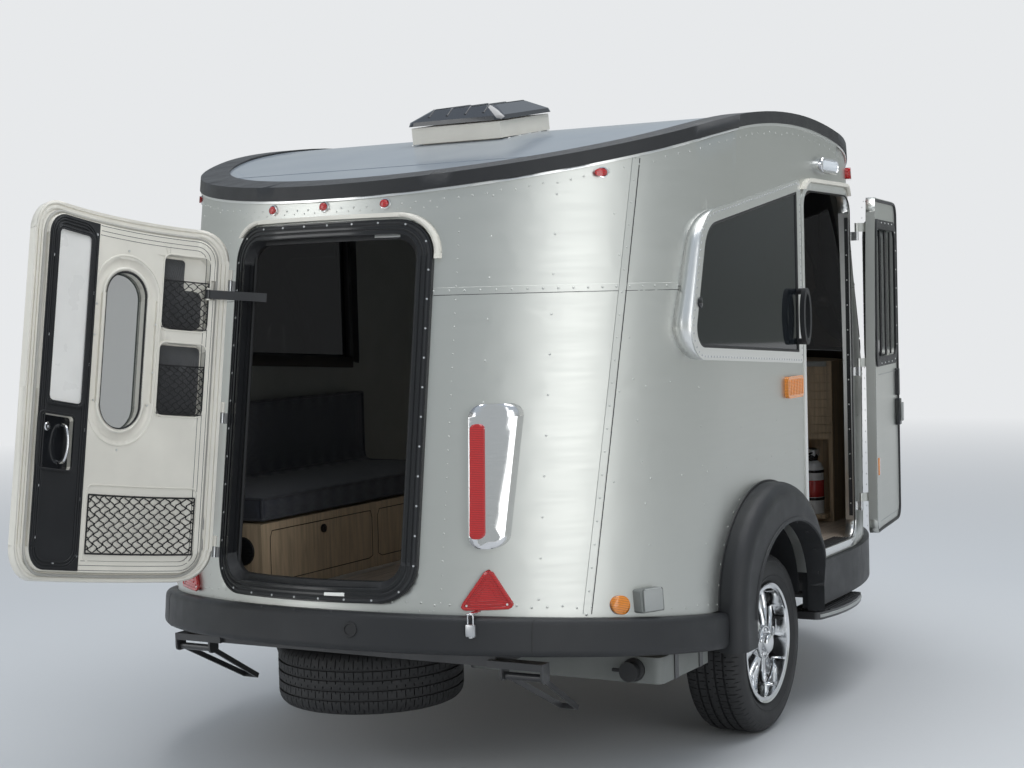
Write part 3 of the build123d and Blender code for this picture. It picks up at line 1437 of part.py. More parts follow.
# Inside: benches, cushions, galley and extinguisher
BENCH_FRONT_Y = 400
BENCH_REAR_X = -1200
BENCH_END_X = 300
BENCH_TOP = 873
BOARD = 18
SEAT_THICK = 102
BACK_THICK = 85
BACK_HEIGHT = 300
CUSHION_GAP = 1
with BuildPart() as bench_units:
    for low_x, low_y, low_z, high_x, high_y, high_z in [
        (BENCH_REAR_X, BENCH_FRONT_Y, FLOOR_TOP, BENCH_END_X, BENCH_FRONT_Y + BOARD, BENCH_TOP),
        (BENCH_REAR_X, BENCH_FRONT_Y, BENCH_TOP - BOARD, BENCH_END_X, HALF_WIDTH, BENCH_TOP),
        (BENCH_REAR_X, BENCH_FRONT_Y, FLOOR_TOP, BENCH_REAR_X + BOARD, HALF_WIDTH, BENCH_TOP),
        (BENCH_END_X - BOARD, BENCH_FRONT_Y, FLOOR_TOP, BENCH_END_X, HALF_WIDTH, BENCH_TOP),
    ]:
        with BuildSketch(level(low_z)):
            with Locations(((low_x + high_x) / 2, (low_y + high_y) / 2)):
                Rectangle(high_x - low_x, high_y - low_y)
        extrude(amount=high_z - low_z)
    add(body_solid(-WALL - 1), mode=Mode.INTERSECT)
    with BuildSketch(side(WELL_INBOARD - 1)):
        center_x, center_z, half_x, half_z = ARCH_OPENING
        add(wheel_arch(center_x, center_z, half_x + WELL_SKIN + 1, half_z + WELL_SKIN + 1, WELL_FOOT))
    extrude(amount=-HALF_WIDTH, mode=Mode.SUBTRACT)
    mirror(about=Plane.XZ)
save(bench_units, "bench_units")

with BuildPart() as cushions:
    with BuildSketch(level(BENCH_TOP)):
        with Locations(((BENCH_REAR_X + BENCH_END_X) / 2, (BENCH_FRONT_Y + HALF_WIDTH) / 2)):
            Rectangle(BENCH_END_X - BENCH_REAR_X - 20, HALF_WIDTH - BENCH_FRONT_Y)
    extrude(amount=SEAT_THICK)
    with BuildSketch(level(BENCH_TOP + SEAT_THICK + CUSHION_GAP)):
        with Locations(((BENCH_REAR_X + BENCH_END_X) / 2, HALF_WIDTH - BACK_THICK)):
            Rectangle(BENCH_END_X - BENCH_REAR_X - 20, 4 * BACK_THICK)
    extrude(amount=BACK_HEIGHT)
    with BuildSketch(level(BENCH_TOP + SEAT_THICK + CUSHION_GAP)):
        add(plan_shape(BENCH_TOP, -WALL - CUSHION_GAP - BACK_THICK))
    extrude(amount=BACK_HEIGHT, mode=Mode.SUBTRACT)
    add(body_solid(-WALL - CUSHION_GAP), mode=Mode.INTERSECT)
    mirror(about=Plane.XZ)
save(cushions, "cushions")

# Galley: a closed block with a tambour door of slats and a niche for the extinguisher
GALLEY_X = 1420
GALLEY_DEEP = 560
GALLEY_TOP = 1340
GALLEY_RIGHT = -818
GALLEY_LEFT = 1020
SLATS = 9
SLAT = 38
SLAT_GROOVE = 5
NICHE_FOOT = 650
NICHE_HEAD = 985
NICHE_WIDE = 150
NICHE_DEEP = 140
SHELF_REACH = 65
with BuildPart() as galley_unit:
    niche_y = GALLEY_RIGHT + BOARD + NICHE_WIDE / 2
    with BuildSketch(level(FLOOR_TOP)):
        with Locations((GALLEY_X + GALLEY_DEEP / 2, (GALLEY_RIGHT + GALLEY_LEFT) / 2)):
            Rectangle(GALLEY_DEEP, GALLEY_LEFT - GALLEY_RIGHT)
    extrude(amount=GALLEY_TOP - FLOOR_TOP)
    with BuildSketch(level(NICHE_FOOT)):
        with Locations((GALLEY_X, niche_y)):
            Rectangle(2 * NICHE_DEEP, NICHE_WIDE)
    extrude(amount=NICHE_HEAD - NICHE_FOOT, mode=Mode.SUBTRACT)
    with BuildSketch(level(NICHE_FOOT - BOARD)):
        with Locations((GALLEY_X - SHELF_REACH / 2, niche_y)):
            Rectangle(SHELF_REACH, NICHE_WIDE)
    extrude(amount=BOARD)
    for slat in range(SLATS):
        with BuildSketch(across(GALLEY_X)):
            with Locations(((GALLEY_RIGHT + GALLEY_LEFT) / 2, GALLEY_TOP - 20 - slat * SLAT)):
                Rectangle(GALLEY_LEFT - GALLEY_RIGHT, SLAT_GROOVE)
        extrude(amount=SLAT_GROOVE, mode=Mode.SUBTRACT)
    add(body_solid(-WALL - 2), mode=Mode.INTERSECT)
save(galley_unit, "galley_unit")

# Extinguisher standing in the niche: a shell with a domed shoulder, neck and lever head
BOTTLE_RADIUS = 46
BOTTLE_SHOULDER = 205
BOTTLE_DOME = 35
BOTTLE_NECK = 18
BOTTLE_HEIGHT = 258
LEVER = (72, 30, 30)
LEVER_CORNER = 8
LEVER_AHEAD = 12
with BuildPart() as extinguisher:
    spot = Plane(
        origin=place(GALLEY_X, niche_y, NICHE_FOOT), x_dir=(1, 0, 0), z_dir=(0, -1, 0)
    )
    with BuildSketch(spot):
        with BuildLine():
            Polyline(
                (0, 0),
                (BOTTLE_RADIUS, 0),
                (BOTTLE_RADIUS, BOTTLE_SHOULDER),
                (0.8 * BOTTLE_RADIUS, BOTTLE_SHOULDER + 0.6 * BOTTLE_DOME),
                (BOTTLE_NECK, BOTTLE_SHOULDER + BOTTLE_DOME),
                (BOTTLE_NECK, BOTTLE_HEIGHT),
                (0, BOTTLE_HEIGHT),
                close=True,
            )
        make_face()
    revolve(axis=Axis(origin=spot.origin, direction=(0, 0, 1)))
    lever_long, lever_wide, lever_high = LEVER
    with BuildSketch(level(NICHE_FOOT + BOTTLE_HEIGHT)):
        with Locations((GALLEY_X + LEVER_AHEAD, niche_y)):
            RectangleRounded(lever_long, lever_wide, LEVER_CORNER)
    extrude(amount=lever_high)
save(extinguisher, "extinguisher")
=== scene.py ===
import json
import math

import bmesh
import bpy
from mathutils import Matrix, Vector
from mathutils.bvhtree import BVHTree
from mathutils.kdtree import KDTree


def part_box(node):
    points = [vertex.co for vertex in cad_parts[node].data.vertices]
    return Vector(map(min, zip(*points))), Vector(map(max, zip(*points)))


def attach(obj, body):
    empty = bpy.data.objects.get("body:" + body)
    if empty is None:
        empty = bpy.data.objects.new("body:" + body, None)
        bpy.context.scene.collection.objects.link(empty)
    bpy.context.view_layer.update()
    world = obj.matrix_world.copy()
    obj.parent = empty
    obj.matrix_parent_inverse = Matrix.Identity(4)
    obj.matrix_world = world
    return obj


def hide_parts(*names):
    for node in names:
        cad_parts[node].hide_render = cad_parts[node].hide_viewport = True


# The finish and the fine detail of a small riveted teardrop camping trailer, built round its
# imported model. Metres. X points forward along the tongue, Y to the trailer's left, Z up.

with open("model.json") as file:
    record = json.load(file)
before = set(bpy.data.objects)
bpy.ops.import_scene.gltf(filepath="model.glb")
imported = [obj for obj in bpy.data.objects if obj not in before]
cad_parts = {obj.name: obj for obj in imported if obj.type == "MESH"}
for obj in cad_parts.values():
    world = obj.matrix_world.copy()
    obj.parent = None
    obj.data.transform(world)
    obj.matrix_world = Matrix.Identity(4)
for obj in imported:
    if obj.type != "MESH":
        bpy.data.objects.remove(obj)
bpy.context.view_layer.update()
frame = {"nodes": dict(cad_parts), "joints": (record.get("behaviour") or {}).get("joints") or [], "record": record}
NODES = frame["nodes"]

# The trailer's own measures, from the frame: the axle's place and the ground under the tyres
TYRE_LOW, TYRE_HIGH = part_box("tyre_right")
AXLE_X = (TYRE_LOW.x + TYRE_HIGH.x) / 2
GROUND = TYRE_LOW.z
HALF_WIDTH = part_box("left_wall")[1].y


def at(x, y, z):
    """A point of the trailer: x ahead of the axle, y to the left, z above the ground."""
    return Vector((AXLE_X + x, y, GROUND + z))


# Camera: the photograph's viewpoint, fitted to the trailer
CAMERA_PLACE = Vector((-9.432, -3.391, 1.173))
CAMERA_YAW = math.radians(29.33)
CAMERA_PITCH = math.radians(-2.55)
CAMERA_ROLL = math.radians(-1.53)
FOCAL_PIXELS = 1734.5
PHOTO_WIDTH = 1024
SENSOR_WIDTH = 36


def make_camera():
    """Sets the camera where the photographer stood."""
    data = bpy.data.cameras.new("photo_camera")
    data.sensor_width = SENSOR_WIDTH
    data.lens = FOCAL_PIXELS * SENSOR_WIDTH / PHOTO_WIDTH
    camera = bpy.data.objects.new("photo_camera", data)
    bpy.context.scene.collection.objects.link(camera)
    ahead = Vector(
        (
            math.cos(CAMERA_YAW) * math.cos(CAMERA_PITCH),
            math.sin(CAMERA_YAW) * math.cos(CAMERA_PITCH),
            math.sin(CAMERA_PITCH),
        )
    )
    level_right = Vector((math.sin(CAMERA_YAW), -math.cos(CAMERA_YAW), 0))
    level_up = level_right.cross(ahead)
    right = level_right * math.cos(CAMERA_ROLL) + level_up * math.sin(CAMERA_ROLL)
    up = level_up * math.cos(CAMERA_ROLL) - level_right * math.sin(CAMERA_ROLL)
    turn = Matrix((right, up, -ahead)).transposed()
    camera.matrix_world = Matrix.Translation(CAMERA_PLACE) @ turn.to_4x4()
    bpy.context.scene.camera = camera


def shade(color, factor):
    """A colour made darker or lighter."""
    return tuple(min(1, part * factor) for part in color)


class Finish:
    """A material: one Principled shader and the few nodes that vary it over the surface."""

    def __init__(self, name, color, roughness=0.5, **sockets):
        self.material = bpy.data.materials.new(name)
        self.material.use_nodes = True
        self.tree = self.material.node_tree
        self.shader = self.tree.nodes["Principled BSDF"]
        self.shader.inputs["Base Color"].default_value = (*color, 1)
        self.shader.inputs["Roughness"].default_value = roughness
        for socket, value in sockets.items():
            self.shader.inputs[socket.replace("_", " ")].default_value = value
        self.relief = None

    def add(self, kind, **values):
        node = self.tree.nodes.new(kind)
        for name, value in values.items():
            setattr(node, name, value)
        return node

    def link(self, source, target):
        self.tree.links.new(source, target)

    def space(self, stretch=(1, 1, 1)):
        """Coordinates of the object, scaled along each axis."""
        where = self.add("ShaderNodeTexCoord")
        mapping = self.add("ShaderNodeMapping")
        mapping.inputs["Scale"].default_value = stretch
        self.link(where.outputs["Object"], mapping.inputs["Vector"])
        return mapping.outputs["Vector"]

    def noise(self, scale, detail=3, stretch=(1, 1, 1), distortion=0):
        node = self.add("ShaderNodeTexNoise")
        node.inputs["Scale"].default_value = scale
        node.inputs["Detail"].default_value = detail
        node.inputs["Distortion"].default_value = distortion
        self.link(self.space(stretch), node.inputs["Vector"])
        return node.outputs["Fac"]

    def cells(self, scale):
        node = self.add("ShaderNodeTexVoronoi")
        node.inputs["Scale"].default_value = scale
        self.link(self.space(), node.inputs["Vector"])
        return node.outputs["Distance"]

    def waves(self, scale, direction):
        node = self.add("ShaderNodeTexWave", bands_direction=direction)
        node.inputs["Scale"].default_value = scale
        self.link(self.space(), node.inputs["Vector"])
        return node.outputs["Fac"]

    def remap(self, value, low, high, start=0.0, end=1.0):
        node = self.add("ShaderNodeMapRange")
        node.inputs["From Min"].default_value = start
        node.inputs["From Max"].default_value = end
        node.inputs["To Min"].default_value = low
        node.inputs["To Max"].default_value = high
        self.link(value, node.inputs["Value"])
        return node.outputs["Result"]

    def mix(self, factor, first, second):
        """A colour between two: each is three numbers or a socket."""
        node = self.add("ShaderNodeMix", data_type="RGBA")
        self.link(factor, node.inputs["Factor"])
        for index, color in ((6, first), (7, second)):
            if isinstance(color, tuple):
                node.inputs[index].default_value = (*color, 1)
            else:
                self.link(color, node.inputs[index])
        return node.outputs[2]

    def paint(self, color):
        self.link(color, self.shader.inputs["Base Color"])
        return self

    def gloss(self, value, low, high, start=0.25, end=0.75):
        """Roughness from low to high as value goes from start to end."""
        self.link(self.remap(value, low, high, start, end), self.shader.inputs["Roughness"])
        return self

    def bump(self, value, distance, strength=1.0):
        """Relief of a depth in metres, on top of any relief before it."""
        node = self.add("ShaderNodeBump")
        node.inputs["Strength"].default_value = strength
        node.inputs["Distance"].default_value = distance
        self.link(value, node.inputs["Height"])
        if self.relief:
            self.link(self.relief, node.inputs["Normal"])
        self.relief = node.outputs["Normal"]
        self.link(self.relief, self.shader.inputs["Normal"])
        return self


def metal_sheet(name, color, rough, sag=0.0012):
    """Rolled sheet: long level grain, cloudy gloss and the faint waves of a riveted skin."""
    made = Finish(name, color, rough, Metallic=1.0)
    cloud = made.noise(1.4, 3)
    made.paint(made.mix(cloud, shade(color, 0.95), shade(color, 1.04)))
    streak = made.noise(9, 2, stretch=(0.5, 0.5, 9))
    made.gloss(streak, rough - 0.02, rough + 0.03)
    made.bump(made.noise(1.7, 1), sag)
    return made.material


def moulded(name, color, rough, pebble=0.0, pebble_scale=900.0, **sockets):
    """Moulded plastic or rubber with a fine pebble and slightly uneven gloss."""
    made = Finish(name, color, rough, **sockets)
    cloud = made.noise(6, 4)
    made.paint(made.mix(cloud, shade(color, 0.85), shade(color, 1.12)))
    made.gloss(made.noise(14, 3), max(0.02, rough - 0.06), rough + 0.07)
    if pebble:
        made.bump(made.cells(pebble_scale), pebble)
    return made.material


def lens(name, color):
    """Clear coloured plastic with fine ribs inside."""
    made = Finish(name, color, 0.12, Coat_Weight=1.0, Coat_Roughness=0.03)
    ribs = made.waves(55, "Z")
    made.paint(made.mix(ribs, shade(color, 0.55), color))
    made.bump(ribs, 0.0008, 0.5)
    return made.material


def planks(name, color):
    """Grey-brown vinyl planks that run along the trailer."""
    made = Finish(name, color, 0.42)
    bricks = made.add("ShaderNodeTexBrick", offset=0.37, squash=1.0)
    bricks.inputs["Scale"].default_value = 1.0
    bricks.inputs["Brick Width"].default_value = 1.1
    bricks.inputs["Row Height"].default_value = 0.15
    bricks.inputs["Mortar Size"].default_value = 0.0015
    bricks.inputs["Color1"].default_value = (*shade(color, 0.8), 1)
    bricks.inputs["Color2"].default_value = (*shade(color, 1.18), 1)
    bricks.inputs["Mortar"].default_value = (*shade(color, 0.25), 1)
    made.link(made.space(), bricks.inputs["Vector"])
    grain = made.noise(9, 6, stretch=(0.6, 9, 9), distortion=0.6)
    dark = made.remap(grain, 0.72, 1.18, 0.3, 0.7)
    grained = made.add("ShaderNodeMix", data_type="RGBA", blend_type="MULTIPLY")
    grained.inputs["Factor"].default_value = 1.0
    made.link(bricks.outputs["Color"], grained.inputs[6])
    made.link(dark, grained.inputs[7])
    made.paint(grained.outputs[2])
    made.bump(grain, 0.0004)
    return made.material


def wood(name, color, rough=0.38):
    """Pale cabinet laminate with a fine upright grain."""
    made = Finish(name, color, rough)
    grain = made.noise(7, 6, stretch=(9, 9, 0.7), distortion=0.7)
    dark = shade(color, 0.72)
    light = shade(color, 1.12)
    made.paint(made.mix(made.remap(grain, 0, 1, 0.3, 0.7), dark, light))
    made.gloss(grain, rough - 0.05, rough + 0.1)
    made.bump(grain, 0.0002)
    return made.material


def woven(name, color, scale=650.0):
    """Flat woven cloth: crossed sets of threads, a little sheen and slubs."""
    made = Finish(name, color, 0.85, Sheen_Weight=0.35, Sheen_Roughness=0.5)
    slubs = made.noise(38, 4)
    made.paint(made.mix(slubs, shade(color, 0.6), shade(color, 1.5)))
    weft = made.waves(scale / 6.28, "X")
    warp = made.waves(scale / 6.28, "Y")
    made.bump(weft, 0.0005)
    made.bump(warp, 0.0005)
    made.bump(made.waves(scale / 6.28, "Z"), 0.0005)
    return made.material


def brushed(name, color, rough):
    """Bare or plated steel with fine scratches."""
    made = Finish(name, color, rough, Metallic=1.0)
    marks = made.noise(30, 4, stretch=(1, 1, 40))
    made.paint(made.mix(marks, shade(color, 0.85), color))
    made.gloss(marks, max(0.03, rough - 0.06), rough + 0.08)
    made.bump(marks, 0.00006)
    return made.material


def painted(name, color, rough, dust=0.12):
    """Paint on metal with orange peel and a breath of dust."""
    made = Finish(name, color, rough, Coat_Weight=0.4, Coat_Roughness=0.08)
    cloud = made.noise(4, 5)
    pale = tuple(c + (0.5 - c) * dust for c in color)
    made.paint(made.mix(made.remap(cloud, 0, 1, 0.35, 0.75), color, pale))
    made.bump(made.noise(160, 2), 0.00008)
    return made.material


def smoked(name, color, alpha):
    """Tinted glazing, dark and glossy, through which a little shows."""
    made = Finish(name, color, 0.03, Alpha=alpha, IOR=1.5)
    made.paint(made.mix(made.noise(1.3, 2), shade(color, 0.7), shade(color, 1.4)))
    made.bump(made.noise(1.6, 1), 0.0004)
    return made.material


FINISHES = {
    # The skin's colour is the sheet's own grey with a slight warm green tint, which is a painted reflection of
    # green ground
    "riveted_aluminium": metal_sheet("aluminium_skin", (0.61, 0.62, 0.59), 0.40),
    "bright_aluminium": metal_sheet("aluminium_bright", (0.84, 0.845, 0.83), 0.30, sag=0.0001),
    "black_moulding": moulded("black_moulding", (0.016, 0.017, 0.019), 0.46, 0.0003),
    "roof_paint": painted("roof_paint", (0.20, 0.235, 0.275), 0.32),
    "smoked_pane": smoked("smoked_pane", (0.012, 0.015, 0.018), 0.88),
    "cream_moulding": moulded("cream_moulding", (0.80, 0.77, 0.69), 0.36),
    "smoked_lid": moulded("smoked_lid", (0.012, 0.014, 0.02), 0.10, Coat_Weight=0.6),
    "plank_floor": planks("plank_floor", (0.60, 0.50, 0.41)),
    "chassis_steel": painted("chassis_steel", (0.022, 0.022, 0.024), 0.42, 0.08),
    "zinc_steel": brushed("zinc_steel", (0.62, 0.63, 0.64), 0.36),
    "grey_tank": moulded("grey_tank", (0.19, 0.20, 0.19), 0.5),
    "tyre": moulded("tyre_rubber", (0.024, 0.024, 0.025), 0.62, 0.0002, 700.0),
    "polished_rim": brushed("polished_rim", (0.86, 0.87, 0.88), 0.13),
    "lamp_chrome": brushed("lamp_chrome", (0.86, 0.86, 0.87), 0.16),
    "gas_bottle": painted("gas_bottle", (0.78, 0.78, 0.75), 0.25),
    "cabinet_wood": wood("cabinet_wood", (0.60, 0.46, 0.31)),
    "navy_fabric": woven("navy_fabric", (0.020, 0.024, 0.038)),
    "bottle_white": painted("bottle_white", (0.78, 0.79, 0.80), 0.22),
    "red_lens": lens("red_lens", (0.62, 0.012, 0.014)),
    "amber_lens": lens("amber_lens", (0.95, 0.30, 0.02)),
}
EXTRA = {
    "gloss_black": moulded("gloss_black", (0.012, 0.013, 0.015), 0.16),
    "rubber": moulded("seal_rubber", (0.016, 0.016, 0.017), 0.5),
    "clear_lens": moulded("clear_lens", (0.80, 0.84, 0.88), 0.06, Coat_Weight=1.0),
    "wall_lining": moulded("wall_lining", (0.17, 0.18, 0.17), 0.55),
    "panel_white": moulded("panel_white", (0.84, 0.83, 0.80), 0.3),
    "net_cord": moulded("net_cord", (0.015, 0.015, 0.016), 0.7),
    "grey_plastic": moulded("grey_plastic", (0.36, 0.37, 0.36), 0.42),
    "red_paint": painted("red_paint", (0.55, 0.02, 0.02), 0.25),
    "shadow": moulded("joint_shadow", (0.045, 0.046, 0.045), 0.6),
    "piping": woven("piping", (0.030, 0.034, 0.050), 1600.0),
    "pale_rubber": moulded("pale_rubber", (0.42, 0.41, 0.38), 0.5),
    "pouch": woven("pouch_cloth", (0.045, 0.046, 0.048), 900.0),
    "clear_pane": smoked("clear_pane", (0.10, 0.12, 0.11), 0.42),
}
UP = Vector((0, 0, 1))


def piece(name, mesh, look, body="body", crisp=38, replaces=()):
    """Turns a bmesh into one finished piece that rides on a body."""
    bmesh.ops.recalc_face_normals(mesh, faces=mesh.faces)
    data = bpy.data.meshes.new(name)
    mesh.to_mesh(data)
    mesh.free()
    data.shade_smooth()
    data.set_sharp_from_angle(angle=math.radians(crisp))
    data.materials.append(FINISHES[look] if look in FINISHES else EXTRA[look])
    made = bpy.data.objects.new(name, data)
    bpy.context.scene.collection.objects.link(made)
    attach(made, body)
    if replaces:
        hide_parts(*replaces)
    return made


def axes_for(normal, toward=None):
    """Right, up and out directions on a face with this normal, up as near toward as it can be."""
    out = Vector(normal).normalized()
    if toward is None:
        toward = UP if abs(out.z) < 0.9 else Vector((1, 0, 0))
    right = Vector(toward).cross(out).normalized()
    return right, out.cross(right), out


def join_rings(mesh, low, high, closed=True):
    """Faces between two rings of corners; a ring of one corner is a tip."""
    count = max(len(low), len(high))
    for index in range(count if closed else count - 1):
        after = (index + 1) % count
        corners = []
        for ring, place in ((low, index), (low, after), (high, after), (high, index)):
            corner = ring[place] if len(ring) > 1 else ring[0]
            if corner not in corners:
                corners.append(corner)
        if len(corners) > 2:
            mesh.faces.new(corners)


def lathe(mesh, centre, axis, profile, sides=24):
    """Turns a profile of (radius, rise) pairs round an axis."""
    right, up, out = axes_for(axis)
    rings = []
    for radius, rise in profile:
        middle = centre + out * rise
        if radius < 1e-6:
            rings.append([mesh.verts.new(middle)])
            continue
        rings.append(
            [
                mesh.verts.new(
                    middle
                    + right * radius * math.cos(2 * math.pi * k / sides)
                    + up * radius * math.sin(2 * math.pi * k / sides)
                )
                for k in range(sides)
            ]
        )
    for low, high in zip(rings, rings[1:]):
        join_rings(mesh, low, high)


def rivet(mesh, point, normal, radius=0.0042, height=0.002):
    """A domed rivet head."""
    lathe(mesh, point - normal * 0.0004, normal, [(radius, 0), (radius * 0.8, height * 0.75), (0, height)], 8)


def screw(mesh, point, normal, radius=0.005, height=0.0022):
    """A flat screw with a sunk middle."""
    profile = [
        (radius, 0), (radius * 0.9, height), (radius * 0.5, height), (radius * 0.3, height * 0.35),
        (0, height * 0.3)
    ]
    lathe(mesh, point - normal * 0.0004, normal, profile, 10)


def block(mesh, centre, size, turn=None, bevel=0.002, segments=2):
    """A box of a size along its own axes, with rounded edges."""
    matrix = Matrix.Translation(centre) @ (turn or Matrix.Identity(4)) @ Matrix.Diagonal((*size, 1))
    corners = bmesh.ops.create_cube(mesh, size=1, matrix=matrix)["verts"]
    # Each edge once, in the same order on every run
    edges = list(dict.fromkeys(edge for corner in corners for edge in corner.link_edges))
    bmesh.ops.bevel(
        mesh, geom=edges, offset=bevel, segments=segments, profile=0.5, affect="EDGES", clamp_overlap=True
    )


def frame_turn(normal, toward=None):
    """The turn whose x, y and z axes are right, up and out on a face."""
    return Matrix(axes_for(normal, toward)).transposed().to_4x4()


def sweep(mesh, path, outline, closed=False):
    """Sweeps an outline of (across, out) pairs along a path of (point, normal) pairs."""
    rings = []
    count = len(path)
    for index, (point, normal) in enumerate(path):
        before = path[index - 1][0] if index or closed else point
        after = path[(index + 1) % count][0] if index < count - 1 or closed else point
        along = (after - before).normalized()
        across = along.cross(normal).normalized()
        out = across.cross(along)
        rings.append([mesh.verts.new(point + across * u + out * v) for u, v in outline])
    for low, high in zip(rings, rings[1:]):
        join_rings(mesh, low, high)
    if closed:
        join_rings(mesh, rings[-1], rings[0])
    else:
        mesh.faces.new(rings[0][::-1])
        mesh.faces.new(rings[-1])


def circle(radius, sides=10):
    """A round outline for a sweep."""
    return [
        (radius * math.cos(2 * math.pi * k / sides), radius * math.sin(2 * math.pi * k / sides))
        for k in range(sides)
    ]


def strip(half, thick, sink=0.0006):
    """A flat bar's outline for a sweep, with softened upper edges."""
    soft = min(thick * 0.4, half * 0.3)
    return [
        (half, -sink), (half, thick - soft), (half - soft, thick), (soft - half, thick),
        (-half, thick - soft), (-half, -sink)
    ]


def tube(mesh, points, radius, sides=10, closed=False):
    """A round bar along points."""
    points = [Vector(p) for p in points]
    normal = None
    path = []
    for index, point in enumerate(points):
        before = points[index - 1] if index or closed else point
        after = points[(index + 1) % len(points)] if index < len(points) - 1 or closed else point
        along = (after - before).normalized()
        if normal is None:
            normal = along.orthogonal().normalized()
        else:
            normal = (normal - along * normal.dot(along)).normalized()
        path.append((point, normal))
    sweep(mesh, path, circle(radius, sides), closed)


def resample(points, spacing, closed=False):
    """Even steps of about a spacing along a polyline of vectors."""
    points = [Vector(p) for p in points]
    if closed:
        points.append(points[0])
    lengths = [0.0]
    for low, high in zip(points, points[1:]):
        lengths.append(lengths[-1] + (high - low).length)
    steps = max(1, round(lengths[-1] / spacing))
    found, leg = [], 0
    for index in range(steps if closed else steps + 1):
        goal = lengths[-1] * index / steps
        while leg < len(points) - 2 and lengths[leg + 1] < goal:
            leg += 1
        share = (goal - lengths[leg]) / max(1e-9, lengths[leg + 1] - lengths[leg])
        found.append(points[leg].lerp(points[leg + 1], share))
    return found


def rounded_path(corners, grow=0.0, step=0.01):
    """Points round a convex polygon of (u, v, radius) corners grown outward, its corners rounded."""
    spots = [Vector(corner[:2]) for corner in corners]
    count = len(spots)
    middle = sum(spots, Vector((0, 0))) / count
    edges = []
    for index, spot in enumerate(spots):
        along = (spots[(index + 1) % count] - spot).normalized()
        out = Vector((along.y, -along.x))
        if out.dot(spot - middle) < 0:
            out = -out
        edges.append((spot + out * grow, along))
    path = []
    for index in range(count):
        (first, first_along), (second, second_along) = edges[index - 1], edges[index]
        gap = second - first
        turn = first_along.x * second_along.y - first_along.y * second_along.x
        reach = (gap.x * second_along.y - gap.y * second_along.x) / turn
        corner = first + first_along * reach
        back, ahead = -first_along, second_along
        radius = max(corners[index][2] + grow, 0.0005)
        half = back.angle(ahead) / 2
        centre = corner + (back + ahead).normalized() * radius / math.sin(half)
        run = radius / math.tan(half)
        spokes = [(corner + back * run) - centre, (corner + ahead * run) - centre]
        sweep_angle = spokes[0].angle_signed(spokes[1])
        steps = max(3, int(abs(sweep_angle) * radius / step) + 1)
        for k in range(steps + 1):
            spoke = spokes[0].copy()
            spoke.rotate(Matrix.Rotation(-sweep_angle * k / steps, 2))
            path.append(centre + spoke)
    return resample(path, step, closed=True)


def panel_corners(low_u, low_v, high_u, high_v, radius):
    """An upright rectangle's corners for rounded_path."""
    return [
        (low_u, low_v, radius), (high_u, low_v, radius), (high_u, high_v, radius), (low_u, high_v, radius)
    ]


def panel_path(box, grow=0.0, step=0.01):
    """Points round an upright rounded rectangle, grown outward."""
    return rounded_path(panel_corners(*box), grow, step)


class Skin:
    """The outer faces of some CAD nodes, on which details are set down; others hide them."""

    def __init__(self, wanted, blockers=()):
        points, faces, self.owners = [], [], []
        for name in (*wanted, *blockers):
            node = NODES[name]
            start = len(points)
            points.extend(node.matrix_world @ corner.co for corner in node.data.vertices)
            faces.extend([start + k for k in face.vertices] for face in node.data.polygons)
            self.owners.extend([name] * len(node.data.polygons))
        self.tree = BVHTree.FromPolygons(points, faces)
        self.wanted = set(wanted)

    def hit(self, start, direction, reach=10.0):
        """Where a ray lands on a wanted node, and its normal there, or None."""
        direction = Vector(direction).normalized()
        point, normal, index, distance = self.tree.ray_cast(start, direction, reach)
        if point is None or self.owners[index] not in self.wanted:
            return None
        return point, (normal if normal.dot(direction) < 0 else -normal)

    def beside(self, x, z, hand):
        """The side at x and z, seen square to the trailer's length; hand is 1 on the left."""
        return self.hit(at(x, hand * 1.6, z), (0, -hand, 0), 1.1)

    def behind(self, y, z):
        """The rear at y and z, seen from behind."""
        return self.hit(at(-2.2, y, z), (1, 0, 0), 1.9)

    def before(self, y, z):
        """The nose at y and z, seen from the front."""
        return self.hit(at(3.0, y, z), (-1, 0, 0), 2.2)

    def round(self, x, angle, z):
        """The wall met from outside at an angle round an upright line at x."""
        out = Vector((math.cos(angle), math.sin(angle), 0))
        return self.hit(at(x, 0, z) + out * 2, -out, 1.25)


def runs(hits):
    """Unbroken stretches of a list of hits."""
    found, run = [], []
    for hit in [*hits, None]:
        if hit:
            run.append(hit)
        else:
            if len(run) > 1:
                found.append(run)
            run = []
    return found


def sweep_hits(mesh, hits, outline):
    """Sweeps an outline along each unbroken stretch of hits."""
    for run in runs(hits):
        sweep(mesh, run, outline)


def girth(z):
    """Hits round the whole body at a height, from the nose by the right side and back."""
    rays = []
    for degree in range(0, -90, -1):
        rays.append(SHELL.round(0.75, math.radians(degree), z))
    rays.extend(SHELL.beside(0.75 - k * 0.01, z, -1) for k in range(126))
    rays.extend(SHELL.round(-0.5, math.radians(-90 - degree), z) for degree in range(0, 181))
    rays.extend(SHELL.beside(-0.5 + k * 0.01, z, 1) for k in range(126))
    rays.extend(SHELL.round(0.75, math.radians(degree), z) for degree in range(90, 0, -1))
    # It ends where the windscreen's moulding begins
    limit = at(NOSE_SEAM_X - 0.025, 0, 0).x
    return [ray if ray and ray[0].x < limit else None for ray in rays]


def raised(hits, lift):
    """The same hits a little off the surface, or None where there is none."""
    return [hit and (hit[0] + hit[1] * lift, hit[1]) for hit in hits]


